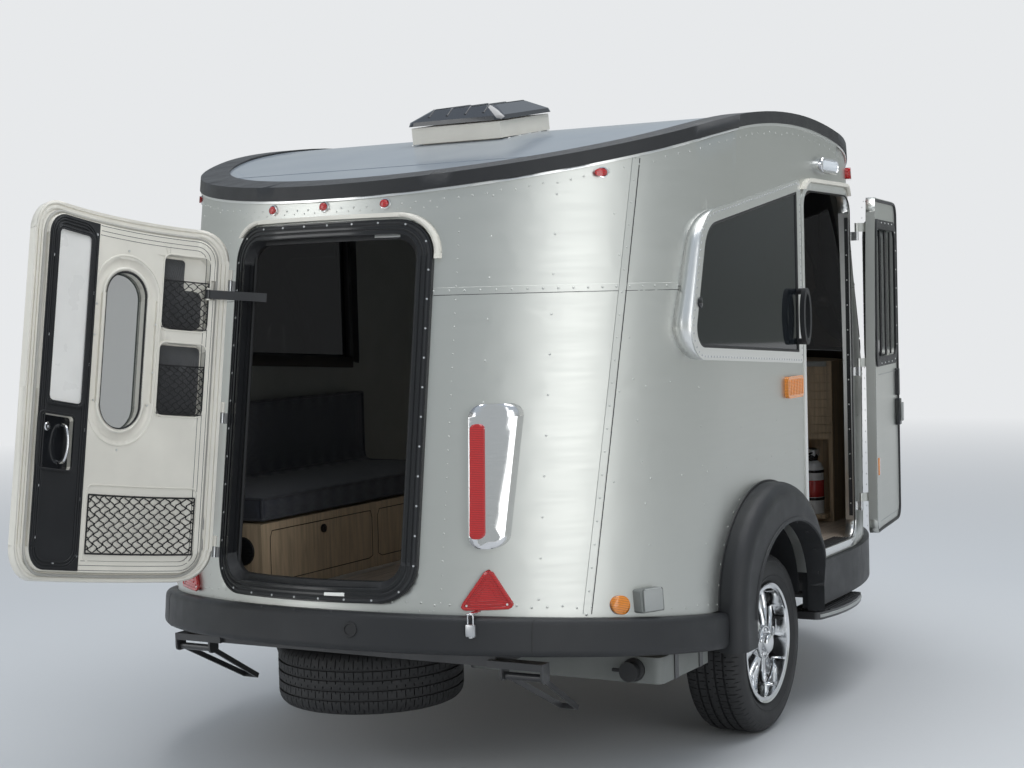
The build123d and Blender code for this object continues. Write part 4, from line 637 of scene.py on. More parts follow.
def rivet_row(mesh, hits, spacing, **size):
    """Rivets at even steps along hits."""
    for run in runs(hits):
        length = sum((b[0] - a[0]).length for a, b in zip(run, run[1:]))
        if length < spacing:
            continue
        steps = max(1, round(length / spacing))
        walked, leg = 0.0, 0
        for index in range(steps + 1):
            goal = length * index / steps
            while leg < len(run) - 2 and walked + (run[leg + 1][0] - run[leg][0]).length < goal:
                walked += (run[leg + 1][0] - run[leg][0]).length
                leg += 1
            gap = (run[leg + 1][0] - run[leg][0]).length
            share = min(1.0, (goal - walked) / max(gap, 1e-9))
            rivet(mesh, run[leg][0].lerp(run[leg + 1][0], share), run[leg][1], **size)


def evened(run, reach=4):
    """A run of hits with the facets of the surface under it smoothed away."""
    made = []
    for index in range(len(run)):
        span = min(reach, index, len(run) - 1 - index)
        near = run[index - span : index + span + 1]
        point = sum((hit[0] for hit in near), Vector()) / len(near)
        normal = sum((hit[1] for hit in near), Vector()).normalized()
        made.append((point, normal))
    return made


def lap(mesh, hits, half, thick):
    """A thin strip along hits."""
    for run in runs(hits):
        if len(run) > 4:
            sweep(mesh, evened(run), strip(half, thick, 0.004))


def make_stage():
    """A pale floor that fades into the backdrop, a soft sky and three soft lamps."""
    pale = (0.80, 0.815, 0.83)
    mesh = bmesh.new()
    bmesh.ops.create_circle(mesh, cap_ends=True, segments=96, radius=60)
    data = bpy.data.meshes.new("studio_floor")
    mesh.to_mesh(data)
    mesh.free()
    floor = bpy.data.objects.new("studio_floor", data)
    floor.location = (AXLE_X, 0, GROUND)
    bpy.context.scene.collection.objects.link(floor)
    look = Finish("studio_floor", (0.62, 0.63, 0.64), 0.7)
    look.bump(look.noise(40, 3), 0.0006)
    glow = look.add("ShaderNodeEmission")
    glow.inputs["Color"].default_value = (*pale, 1)
    distance = look.add("ShaderNodeVectorMath", operation="LENGTH")
    look.link(look.space(), distance.inputs[0])
    blend = look.add("ShaderNodeMixShader")
    look.link(look.remap(distance.outputs["Value"], 0, 1, 4, 17), blend.inputs["Fac"])
    look.link(look.shader.outputs[0], blend.inputs[1])
    look.link(glow.outputs[0], blend.inputs[2])
    look.link(blend.outputs[0], look.tree.nodes["Material Output"].inputs["Surface"])
    data.materials.append(look.material)

    world = bpy.data.worlds.new("studio")
    bpy.context.scene.world = world
    world.use_nodes = True
    tree = world.node_tree
    tree.nodes.clear()
    where = tree.nodes.new("ShaderNodeTexCoord")
    split = tree.nodes.new("ShaderNodeSeparateXYZ")
    tree.links.new(where.outputs["Generated"], split.inputs[0])
    ramp = tree.nodes.new("ShaderNodeValToRGB")
    ramp.color_ramp.elements[0].position = 0.0
    ramp.color_ramp.elements[0].color = (0.38, 0.41, 0.38, 1)
    ramp.color_ramp.elements[1].position = 0.75
    ramp.color_ramp.elements[1].color = (0.62, 0.70, 0.80, 1)
    haze = ramp.color_ramp.elements.new(0.16)
    haze.color = (0.62, 0.66, 0.67, 1)
    tree.links.new(split.outputs["Z"], ramp.inputs["Fac"])
    light = tree.nodes.new("ShaderNodeBackground")
    light.inputs["Strength"].default_value = 0.70
    tree.links.new(ramp.outputs["Color"], light.inputs["Color"])
    shown = tree.nodes.new("ShaderNodeBackground")
    shown.inputs["Color"].default_value = (*pale, 1)
    path = tree.nodes.new("ShaderNodeLightPath")
    blend = tree.nodes.new("ShaderNodeMixShader")
    tree.links.new(path.outputs["Is Camera Ray"], blend.inputs["Fac"])
    tree.links.new(light.outputs[0], blend.inputs[1])
    tree.links.new(shown.outputs[0], blend.inputs[2])
    end = tree.nodes.new("ShaderNodeOutputWorld")
    tree.links.new(blend.outputs[0], end.inputs["Surface"])

    # Soft boxes: where each hangs from the axle, its width, height and watts
    for name, place, width, height, watts in [
        ("key_right_rear", (-4.6, -8.2, 2.6), 4.6, 5.6, 150),
        ("fill_left_rear", (-7.5, 5.5, 3.4), 5.5, 4.4, 160),
        ("top", (0.5, -1.0, 7.5), 7.0, 6.0, 380),
    ]:
        lamp = bpy.data.lights.new(name, "AREA")
        lamp.shape = "RECTANGLE"
        lamp.size, lamp.size_y, lamp.energy = width, height, watts
        holder = bpy.data.objects.new(name, lamp)
        bpy.context.scene.collection.objects.link(holder)
        holder.location = at(*place)
        holder.rotation_euler = (at(0, 0, 1.2) - holder.location).to_track_quat("-Z", "Y").to_euler()


def dress_nodes():
    """Gives every CAD node the finish of its slot, smooth faces and crisp edges."""
    slots = {part["node"]: part["material_slot"] for part in frame["record"]["subparts"]}
    for name, node in NODES.items():
        weld = node.modifiers.new("weld", "WELD")
        weld.merge_threshold = 0.00001
        if name not in ("tail_lamps", "rim_left", "rim_right"):
            even = node.modifiers.new("even_normals", "WEIGHTED_NORMAL")
            even.weight = 50
            even.keep_sharp = True
        node.data.materials.clear()
        node.data.materials.append(EXTRA["clear_pane"] if name == "hatch_pane" else FINISHES[slots[name]])


# Everything below is set out in metres of the trailer: x ahead of the axle, z above the ground
HATCH_PANEL = (-0.400, 0.680, 0.400, 1.920, 0.120)
DOOR_PANEL = (0.385, 0.612, 0.985, 2.050, 0.070)
WINDOW_OUTLINE = [
    (0.350, 1.373, 0.024), (0.350, 2.088, 0.024), (-0.618, 1.922, 0.170), (-0.768, 1.432, 0.110)
]
WINDOW_MIDDLE = Vector((-0.20, 1.70))
SEAM_X, SEAM_Z, SEAM_LEAN = -1.128, 0.616, 0.2116
NOSE_SEAM_X = 1.25
BELT_Z = 1.667
WALL_NODES = ["rear_wall", "right_wall", "left_wall", "nose_lower", "nose_upper"]
WALL_FITTINGS = [
    "window_flanges", "side_door_frame", "hatch_frame", "tail_lamps", "red_lamps", "amber_lamps",
    "socket_box",
    "porch_lamp", "drip_rails", "grab_handle", "wheel_flares", "rear_bumper", "front_skirt", "gutter_rail",
    "roof_edge_trim", "hinge_knuckles", "windscreen_panes",
]
SHELL = Skin(WALL_NODES, WALL_FITTINGS)


def seam_line(z):
    """Where the rear panel's edge lies on the side at a height."""
    return SEAM_X + SEAM_LEAN * (z - SEAM_Z)


def upright(x, low, high, hand):
    """Hits up the side wall from low to high."""
    steps = int((high - low) / 0.012)
    return [
        SHELL.beside(x, low + (high - low) * k / steps, hand)
        for k in range(steps + 1)
    ]


def wall_edge(find, low, high, step=0.01):
    """The first height from low towards high at which find(z) lands on a wall."""
    for index in range(int(abs(high - low) / step)):
        z = low + math.copysign(index * step, high - low)
        if find(z):
            return z
    return None


def rim_hits(hand_or_angle, sideways, inset, top):
    """Hits just inside the walls' top or bottom edge, over a list of places along them."""
    found = []
    for place in sideways:
        if hand_or_angle == "rear":
            caster = lambda z, y=place: SHELL.behind(y, z)
        elif hand_or_angle == "nose":
            caster = lambda z, y=place: SHELL.before(y, z)
        else:
            caster = lambda z, x=place: SHELL.beside(x, z, hand_or_angle)
        edge = wall_edge(caster, 2.45, 1.5) if top else wall_edge(caster, 0.45, 0.9)
        found.append(caster(edge - inset if top else edge + inset) if edge else None)
    return found


def rivet_walls():
    """The rivets, lap joints and belt of the aluminium skin."""
    heads = bmesh.new()
    laps = bmesh.new()
    lines = bmesh.new()
    for hand in (-1, 1):
        # The rear panel's bright overlapping edge, the nose joint, and the ribs' rows
        heights = [0.62 + 0.012 * k for k in range(135)]
        seam = [SHELL.beside(seam_line(z), z, hand) for z in heights]
        lap(laps, seam, 0.013, 0.0022)
        rivet_row(heads, raised(seam, 0.0021), 0.078)
        edge = [SHELL.beside(seam_line(z) + 0.0145, z, hand) for z in heights]
        lap(lines, edge, 0.0016, 0.0012)
        nose = upright(NOSE_SEAM_X, 0.55, 1.27, hand)
        lap(laps, nose, 0.016, 0.0020)
        rivet_row(heads, raised(nose, 0.0019), 0.07)
        for x, low, high in [
            (-0.90, 0.66, 2.06), (-0.62, 0.66, 1.33), (-0.30, 1.0, 1.34), (0.06, 1.0, 1.34), (1.09, 0.7, 2.1)
        ]:
            rivet_row(heads, upright(x, low, high, hand), 0.139)
        rivet_row(heads, [SHELL.beside(-1.0 + 0.01 * k, 1.04, hand) for k in range(130)], 0.155)
        rivet_row(heads, [SHELL.beside(-0.95 + 0.01 * k, 1.335 + 0.0012 * k, hand) for k in range(20)], 0.09)
        rivet_row(heads, rim_hits(hand, [-0.98 + 0.01 * k for k in range(222)], 0.022, True), 0.062)
        rivet_row(heads, rim_hits(hand, [-0.98 + 0.01 * k for k in range(222)], 0.022, False), 0.075)
        # Uprights of the rear panel's frame
        for y in (0.565, 0.735):
            rivet_row(heads, [SHELL.behind(hand * y, 0.68 + 0.012 * k) for k in range(110)], 0.13)
        rivet_row(
            heads, [SHELL.behind(hand * 0.47, 0.68 + 0.012 * k) for k in range(104)], 0.045, radius=0.003
        )
    rivet_row(heads, rim_hits("rear", [-0.86 + 0.01 * k for k in range(173)], 0.024, True), 0.05)
    rivet_row(heads, rim_hits("rear", [-0.86 + 0.01 * k for k in range(173)], 0.024, False), 0.05)
    rivet_row(heads, rim_hits("nose", [-0.86 + 0.01 * k for k in range(173)], 0.022, False), 0.06)
    rivet_row(heads, [SHELL.behind(-0.40 + 0.01 * k, 1.955) for k in range(80)], 0.045, radius=0.003)
    rivet_row(heads, [SHELL.behind(-0.45 + 0.01 * k, 0.655) for k in range(90)], 0.045, radius=0.003)
    # The belt: a lapped edge with a row of rivets above it, all round
    lap(laps, girth(BELT_Z + 0.012), 0.012, 0.0018)
    lap(lines, girth(BELT_Z), 0.0018, 0.0012)
    rivet_row(heads, raised(girth(BELT_Z + 0.013), 0.0017), 0.052)
    for z in (1.315, 1.285):
        rivet_row(heads, [SHELL.before(-1.0 + 0.01 * k, z) for k in range(201)], 0.055)
    for y in (-0.62, 0.0, 0.62):
        rivet_row(heads, [SHELL.before(y, 0.62 + 0.012 * k) for k in range(56)], 0.09)
    piece("rivets", heads, "riveted_aluminium", crisp=70)
    piece("lap_joints", laps, "riveted_aluminium")
    piece("lap_shadows", lines, "shadow")


def dress_windows():
    """The side windows' rivets, seals, inner frames, pan sides, sleeves and knobs."""
    flange = Skin(["window_flanges"])
    plain = Skin(WALL_NODES)
    heads, seals, frames, knobs = bmesh.new(), bmesh.new(), bmesh.new(), bmesh.new()
    aprons, sleeves = bmesh.new(), bmesh.new()

    def inside(spot, hand):
        return plain.hit(at(spot.x, 0, spot.y), (0, hand, 0), 1.2)

    def rounded_point(spot, middle, grow):
        return spot + (spot - middle).normalized() * grow

    for hand in (-1, 1):
        path = [flange.beside(spot.x, spot.y, hand) for spot in rounded_path(WINDOW_OUTLINE, -0.012, 0.0265)]
        for hit in path:
            if hit:
                rivet(heads, *hit, radius=0.0042, height=0.0024)
        face_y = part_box("side_panes")[1].y
        out = Vector((0, hand, 0))
        seal = [
            (at(p.x, hand * (face_y - 0.001), p.y), out)
            for p in rounded_path(WINDOW_OUTLINE, -0.046, 0.012)
        ]
        sweep(
            seals, seal, [(0.007, 0), (0.006, 0.005), (0, 0.0065), (-0.006, 0.004), (-0.007, 0)], closed=True
        )
        inner = [inside(p, hand) for p in rounded_path(WINDOW_OUTLINE, -0.020, 0.02)]
        sweep_hits(frames, inner, [(0.026, -0.002), (0.024, 0.010), (-0.020, 0.010), (-0.026, -0.002)])
        # The pan's side from the flat flange back to the curved wall, and the sleeve inside it
        rings = [[], []]
        for p in rounded_path(WINDOW_OUTLINE, -0.001, 0.02):
            wall = plain.beside(p.x, p.y, hand)
            rings[0].append(aprons.verts.new(at(p.x, hand * (BODY_HALF + 0.0045), p.y)))
            rings[1].append(
                aprons.verts.new(at(p.x, (wall[0].y if wall else hand * BODY_HALF) - hand * 0.004, p.y))
            )
        join_rings(aprons, *rings)
        rings = [[], []]
        for p in rounded_path(WINDOW_OUTLINE, -0.0375, 0.02):
            wall = inside(rounded_point(p, WINDOW_MIDDLE, 0.012), hand)
            rings[0].append(sleeves.verts.new(at(p.x, hand * (face_y - 0.002), p.y)))
            rings[1].append(sleeves.verts.new(at(p.x, wall[0].y if wall else hand * (BODY_HALF - 0.04), p.y)))
        join_rings(sleeves, *rings)
        lathe(
            knobs, at(-0.66, hand * (face_y + 0.001), 1.62), out,
            [(0.02, 0), (0.018, 0.008), (0.008, 0.011), (0, 0.012)], 20
        )
    piece("window_rivets", heads, "zinc_steel", crisp=70)
    piece("window_seals", seals, "rubber")
    piece("window_inner_frames", frames, "gloss_black")
    for name, mesh, look in (
        ("window_pans", aprons, "bright_aluminium"), ("window_sleeves", sleeves, "rubber")
    ):
        made = piece(name, mesh, look)
        thick = made.modifiers.new("thickness", "SOLIDIFY")
        thick.thickness = 0.0015
        thick.offset = 0
    piece("window_knobs", knobs, "gloss_black")


def dress_hatch_frame():
    """The black frame round the rear opening: its ribs, soft seal, strikes and screws."""
    front = Skin(["hatch_frame"])
    seals, ribs, heads = bmesh.new(), bmesh.new(), bmesh.new()
    corners = panel_corners(*HATCH_PANEL)

    def ring(grow):
        return [front.behind(p.x, p.y) for p in rounded_path(corners, grow, 0.012)]

    for grow, half, thick in [(-0.003, 0.003, 0.003), (-0.025, 0.0035, 0.0010), (-0.041, 0.0045, 0.0012)]:
        sweep_hits(ribs, ring(grow), strip(half, thick))
    for p in rounded_path(corners, -0.010, 0.095):
        hit = front.behind(p.x, p.y)
        if hit:
            screw(heads, *hit, radius=0.004, height=0.0015)
    # The bulb seal that the leaf shuts on, and the bright strikes for its catches
    bulb = []
    for p in rounded_path(corners, -0.054, 0.012):
        edge = front.behind(p.x * 0.955, p.y)
        if edge:
            bulb.append((edge[0] + Vector((0.012, 0, 0)), edge[1]))
    for run in runs(bulb):
        tube(seals, [point for point, normal in run], 0.006, 8)
    piece("hatch_frame_ribs", ribs, "gloss_black")
    strike = bmesh.new()
    for y, z, width in ((-0.235, 1.868, 0.090), (-0.130, 0.706, 0.075)):
        point, away = front.behind(y, z) or front.behind(y, z + 0.01)
        block(strike, point + away * 0.0002, (width, 0.012, 0.002), frame_turn(away), 0.0008, 1)
    piece("hatch_strikes", strike, "bright_aluminium")
    piece("hatch_frame_screws", heads, "zinc_steel", crisp=60)
    piece("hatch_frame_seal", seals, "rubber")


# The two open leaves: details are set out on the closed leaf and turned with it
JOINTS = {joint["name"]: joint for joint in frame["joints"]}


def swing(joint, degrees):
    """The turn of a leaf from closed to how it stands."""
    place = Vector(JOINTS[joint]["pos_m"])
    turn = Matrix.Rotation(math.radians(degrees), 4, Vector(JOINTS[joint]["axis"]))
    return Matrix.Translation(place) @ turn @ Matrix.Translation(-place)


HATCH_SWING = swing("hatch_hinge", -101)
DOOR_SWING = swing("side_door_hinge", 187)
REAR_START, REAR_LEAN, REAR_LEVEL = -0.528, 0.15, 0.6
REAR_DEPTH = 0.995
BODY_HALF = 1.067


def rear_surface(y, z, growth):
    """A point a growth outside the rear wall, and the direction out of the body there."""
    share = y / (BODY_HALF + growth)
    run = math.sqrt(1 - share * share)
    depth = REAR_DEPTH + growth
    point = at(REAR_START + REAR_LEAN * (z - REAR_LEVEL) - depth * run, y, z)
    out = Vector((-run / depth, share / (BODY_HALF + growth), REAR_LEAN * run / depth)).normalized()
    return point, out


def leaf_spot(y, z, growth, inner=True):
    """A place on the open hatch leaf and the direction away from it, on its cabin side."""
    point, out = rear_surface(y, z, growth)
    away = -out if inner else out
    return HATCH_SWING @ point, (HATCH_SWING.to_3x3() @ away).normalized()


def door_spot(x, z, deep, inner=True):
    """A place on the open side door's leaf, deep inside its outer face when closed."""
    point = at(x, -BODY_HALF + deep, z)
    away = Vector((0, 1 if inner else -1, 0))
    return DOOR_SWING @ point, DOOR_SWING.to_3x3() @ away


def leaf_ring(corners, grow, growth, inner=True):
    """Places on the open hatch leaf round a rounded polygon."""
    return [leaf_spot(p.x, p.y, growth, inner) for p in rounded_path(corners, grow, 0.012)]


def span_at(corners_box, y):
    """The low and high of a rounded upright rectangle at y."""
    low_y, low_z, high_y, high_z, radius = corners_box
    near = min(y - low_y, high_y - y)
    cut = radius - math.sqrt(max(0.0, radius**2 - max(0.0, radius - near) ** 2)) if near < radius else 0.0
    return low_z + cut, high_z - cut


def leaf_panel(mesh, box, growth, thick, columns=14, rows=10, bulge=0.0, ripple=0.0):
    """A thin rounded panel on the leaf's cabin side, which may swell like a bag."""
    low_y, low_z, high_y, high_z, radius = box
    places = [low_y + radius * (1 - math.cos(math.pi / 2 * k / 4)) for k in range(4)]
    inner = [low_y + radius + (high_y - low_y - 2 * radius) * k / columns for k in range(columns + 1)]
    places += inner + [high_y - (p - low_y) for p in places[::-1]]
    faces = []
    for lift in (0.0, 1.0):
        columns_made = []
        for y in places:
            low, high = span_at(box, y)
            column = []
            for k in range(rows + 1):
                z = low + (high - low) * k / rows
                across = math.sin(math.pi * (y - low_y) / (high_y - low_y))
                along = math.sin(math.pi * (z - low_z) / (high_z - low_z))
                swell = bulge * max(0, across * along) ** 0.6
                swell += ripple * math.sin(90 * y + 7 * math.sin(40 * z))
                point, away = leaf_spot(y, z, growth)
                column.append(mesh.verts.new(point + away * (lift * (thick + swell))))
            columns_made.append(column)
        faces.append(columns_made)
    for sheet_made in faces:
        for first, second in zip(sheet_made, sheet_made[1:]):
            join_rings(mesh, first, second, closed=False)
    back, front = faces
    for lower, upper in ((back[0], front[0]), (back[-1], front[-1])):
        join_rings(mesh, lower, upper, closed=False)
    for end in (0, -1):
        join_rings(mesh, [c[end] for c in back], [c[end] for c in front], closed=False)
    bmesh.ops.remove_doubles(mesh, verts=mesh.verts, dist=0.00002)


def net(mesh, box, growth, cell, rise, cord=0.0019, bulge=0.012):
    """A knotted net of rounded cells, strung between the edges of a box on the leaf."""
    low_y, low_z, high_y, high_z = box
    strands = max(2, round((high_y - low_y) / cell))
    knots = max(2, round((high_z - low_z) / rise))
    wide, tall = (high_y - low_y) / strands, (high_z - low_z) / knots
    for strand in range(strands + 1):
        points = []
        for knot in range(knots * 4 + 1):
            share = knot / 4
            side = math.cos(math.pi * share) * (1 if strand % 2 else -1)
            y = low_y + strand * wide + 0.47 * wide * math.copysign(abs(side) ** 0.7, side)
            y = min(max(y, low_y), high_y)
            z = low_z + share * tall + 0.003 * math.sin(3 * strand + share)
            across = math.sin(math.pi * (y - low_y) / (high_y - low_y))
            swell = across * math.sin(math.pi * (z - low_z) / (high_z - low_z))
            point, away = leaf_spot(y, z, growth)
            points.append(point + away * (0.003 + bulge * max(0, swell)))
        tube(mesh, points, cord, 5)
    for edge_z in (low_z, high_z):
        points = [leaf_spot(low_y + (high_y - low_y) * k / 16, edge_z, growth) for k in range(17)]
        tube(mesh, [p + n * 0.003 for p, n in points], cord * 1.5, 6)
    for edge_y in (low_y, high_y):
        points = [leaf_spot(edge_y, low_z + (high_z - low_z) * k / 10, growth) for k in range(11)]
        tube(mesh, [p + n * 0.003 for p, n in points], cord * 1.2, 6)


PLUG_FACE = 0.006
COVER_FACE = 0.002
PLUG_PANEL = (-0.340, 0.740, 0.340, 1.860, 0.072)
LEAF_PANEL = (-0.392, 0.712, 0.392, 1.900, 0.105)
OVAL_MIDDLE, OVAL_LOW, OVAL_HIGH, OVAL_HALF = 0.008, 1.204, 1.723, 0.083
OVAL_PANEL = (OVAL_MIDDLE - OVAL_HALF, OVAL_LOW, OVAL_MIDDLE + OVAL_HALF, OVAL_HIGH, OVAL_HALF - 0.0005)
BLIND_BOX = (-0.299, 1.266, -0.151, 1.811, 0.016)
POCKETS = [(0.150, 1.550, 0.318, 1.800), (0.150, 1.262, 0.318, 1.505)]
LATCH_BOX = (-0.332, 1.058, -0.178, 1.227)


def dress_hatch_leaf():
    """The open hatch leaf: screws, seals, blind, nets, bags, latch and its outer skin's fittings."""
    heads, dark_heads, seals, black = bmesh.new(), bmesh.new(), bmesh.new(), bmesh.new()
    # Seal round the plug, and fine lines pressed in the leaf's rim
    ring = leaf_ring(panel_corners(*PLUG_PANEL), 0.010, 0.020)
    rim = bmesh.new()
    sweep(
        rim, ring, [(0.005, -0.001), (0.0045, 0.004), (0, 0.006), (-0.0045, 0.004), (-0.005, -0.001)],
        closed=True
    )
    piece("leaf_rim_seal", rim, "pale_rubber", "hatch")
    for inset in (0.016, 0.030, 0.0):
        line = leaf_ring(panel_corners(*PLUG_PANEL), -inset - 0.006, PLUG_FACE)
        line = [
            spot if p.x > -0.12 else None
            for spot, p in zip(line, panel_path(PLUG_PANEL, -inset - 0.006, 0.012))
        ]
        sweep_hits(black, line, strip(0.0008, 0.0005))
    # The black cover: ribs down its outer edge, screws down both
    cover = (-0.337, 0.743, -0.120, 1.857, 0.069)
    for inset in (0.008, 0.016, 0.026):
        spots = panel_path(cover, -inset, 0.012)
        line = [leaf_spot(p.x, p.y, COVER_FACE) if p.x < -0.125 else None for p in spots]
        sweep_hits(black, line, strip(0.0028, 0.0032))
    for y, z in [
        (-0.317, 1.72), (-0.317, 1.47), (-0.317, 1.00), (-0.317, 0.84), (-0.132, 1.82), (-0.132, 1.63),
        (-0.132, 1.40), (-0.132, 1.19), (-0.132, 0.97), (-0.132, 0.79), (-0.230, 0.765),
    ]:
        screw(dark_heads, *leaf_spot(y, z, COVER_FACE), radius=0.0055)
    # Oval window: seal, ring lips and eight screws
    corners = panel_corners(*OVAL_PANEL)
    sweep(
        seals, leaf_ring(corners, -0.001, 0.010), [(0.004, 0), (0.003, 0.005), (-0.003, 0.004), (-0.005, 0)],
        closed=True
    )
    lips = bmesh.new()
    sweep(
        lips, leaf_ring(corners, 0.052, PLUG_FACE),
        [(0.004, -0.001), (0.002, 0.002), (-0.003, 0.002), (-0.006, -0.004)], closed=True
    )
    sweep(
        lips, leaf_ring(corners, 0.008, 0.010),
        [(0.005, -0.002), (0.003, 0.004), (-0.003, 0.004), (-0.005, -0.002)], closed=True
    )
    piece("leaf_window_lips", lips, "cream_moulding", "hatch")
    for y, z in [
        (0.008, 1.79), (0.008, 1.137), (-0.112, 1.60), (-0.112, 1.50), (-0.1, 1.29), (0.128, 1.56),
        (0.128, 1.40), (0.115, 1.29)
    ]:
        screw(heads, *leaf_spot(y, z, PLUG_FACE), radius=0.004)
    # The blind's white sheet and its frame, in the cover's upper half
    blind = bmesh.new()
    leaf_panel(blind, BLIND_BOX, PLUG_FACE + 0.001, 0.003)
    piece("blind_sheet", blind, "panel_white", "hatch")
    for grow in (0.006, -0.001):
        sweep(black, leaf_ring(panel_corners(*BLIND_BOX), grow, -0.001), strip(0.0022, 0.0022), closed=True)
    # Latch box: dark liner, chrome grip with its boss, and the box's lip
    liner = bmesh.new()
    leaf_panel(liner, (*LATCH_BOX, 0.010), 0.0255, 0.001)
    piece("latch_liner", liner, "gloss_black", "hatch")
    chrome = bmesh.new()
    grip = []
    for k in range(25):
        share = k / 24
        z = 1.082 + 0.120 * share
        lift = 0.030 * math.sin(math.pi * share) ** 0.35
        point, away = leaf_spot(-0.212, z, 0.022)
        grip.append(point + away * lift)
    tube(chrome, grip, 0.006, 12)
    lathe(
        chrome, *leaf_spot(-0.285, 1.19, 0.024),
        [(0.014, 0), (0.014, 0.010), (0.011, 0.013), (0.004, 0.013), (0.004, 0.010), (0, 0.010)], 24
    )
    piece("hatch_grip", chrome, "lamp_chrome", "hatch", replaces=["hatch_latch"])
    sweep(
        black, leaf_ring(panel_corners(*LATCH_BOX, 0.012), 0.004, COVER_FACE - 0.001), strip(0.003, 0.0035),
        closed=True
    )
    # Pockets: lips, the bags in them, and the nets
    lips = bmesh.new()
    for low_y, low_z, high_y, high_z in POCKETS:
        corners = panel_corners(low_y, low_z, high_y, high_z, 0.022)
        sweep(
            lips, leaf_ring(corners, 0.003, PLUG_FACE),
            [(0.003, -0.001), (0.002, 0.0022), (-0.002, 0.0022), (-0.003, -0.004)], closed=True
        )
    corners = panel_corners(-0.100, 0.775, 0.318, 1.020, 0.020)
    sweep(lips, leaf_ring(corners, 0.001, PLUG_FACE), strip(0.0018, 0.0012), closed=True)
    piece("pocket_lips", lips, "cream_moulding", "hatch")
    bag = bmesh.new()
    leaf_panel(bag, (0.156, 1.268, 0.312, 1.500, 0.020), 0.029, 0.004, bulge=0.024, ripple=0.0014)
    leaf_panel(bag, (0.156, 1.560, 0.240, 1.792, 0.014), 0.029, 0.003, bulge=0.014, ripple=0.001)
    leaf_panel(bag, (0.172, 1.556, 0.306, 1.690, 0.030), 0.029, 0.003, bulge=0.020, ripple=0.0012)
    piece("pocket_bags", bag, "pouch", "hatch")
    nets = bmesh.new()
    net(nets, (0.152, 1.556, 0.316, 1.715), 0.008, 0.0165, 0.0145, 0.0016, bulge=0.006)
    net(nets, (0.152, 1.268, 0.316, 1.430), 0.008, 0.0150, 0.0140, 0.0016, bulge=0.022)
    net(nets, (-0.093, 0.800, 0.312, 0.988), PLUG_FACE + 0.002, 0.0195, 0.0157, 0.0019, bulge=0.006)
    piece("leaf_nets", nets, "net_cord", "hatch", crisp=60)
    # The catches on the leaf's edge, and the outer skin's rivets, pull and window seal
    catch = bmesh.new()
    for z in (0.835, 0.905):
        point, away = leaf_spot(0.352, z, 0.020)
        block(
            catch, point + away * 0.001, (0.016, 0.040, 0.004), frame_turn(away, HATCH_SWING.to_3x3() @ UP),
            0.003
        )
    piece("leaf_catches", catch, "bright_aluminium", "hatch")
    for p in panel_path(LEAF_PANEL, -0.018, 0.048):
        rivet(heads, *leaf_spot(p.x, p.y, 0.050, False), radius=0.0034)
    corners = panel_corners(*OVAL_PANEL)
    sweep(
        seals, leaf_ring(corners, 0.002, 0.050, inner=False),
        [(0.006, 0), (0.005, 0.003), (-0.003, 0.003), (-0.006, -0.003)], closed=True
    )
    paddle, away = leaf_spot(-0.270, 1.14, 0.050, False)
    turn = frame_turn(away, HATCH_SWING.to_3x3() @ UP)
    block(black, paddle + away * 0.004, (0.075, 0.150, 0.010), turn, 0.004)
    block(
        black, paddle + away * 0.012 + turn.to_3x3() @ Vector((0, 0.01, 0)), (0.052, 0.085, 0.010), turn,
        0.004
    )
    lathe(heads, paddle + away * 0.008 - turn.to_3x3() @ Vector((0, 0.055, 0)), away, LOCK_FACE, 20)
    piece("leaf_screws", heads, "bright_aluminium", "hatch", crisp=60)
    piece("cover_screws", dark_heads, "zinc_steel", "hatch", crisp=60)
    piece("leaf_seals", seals, "rubber", "hatch")
    piece("leaf_black_trim", black, "black_moulding", "hatch")


DOOR_LEAF = (0.390, 0.617, 0.980, 2.045, 0.065)
DOOR_WINDOW = (0.460, 1.360, 0.920, 1.920, 0.050)
WALL_THICK = 0.038


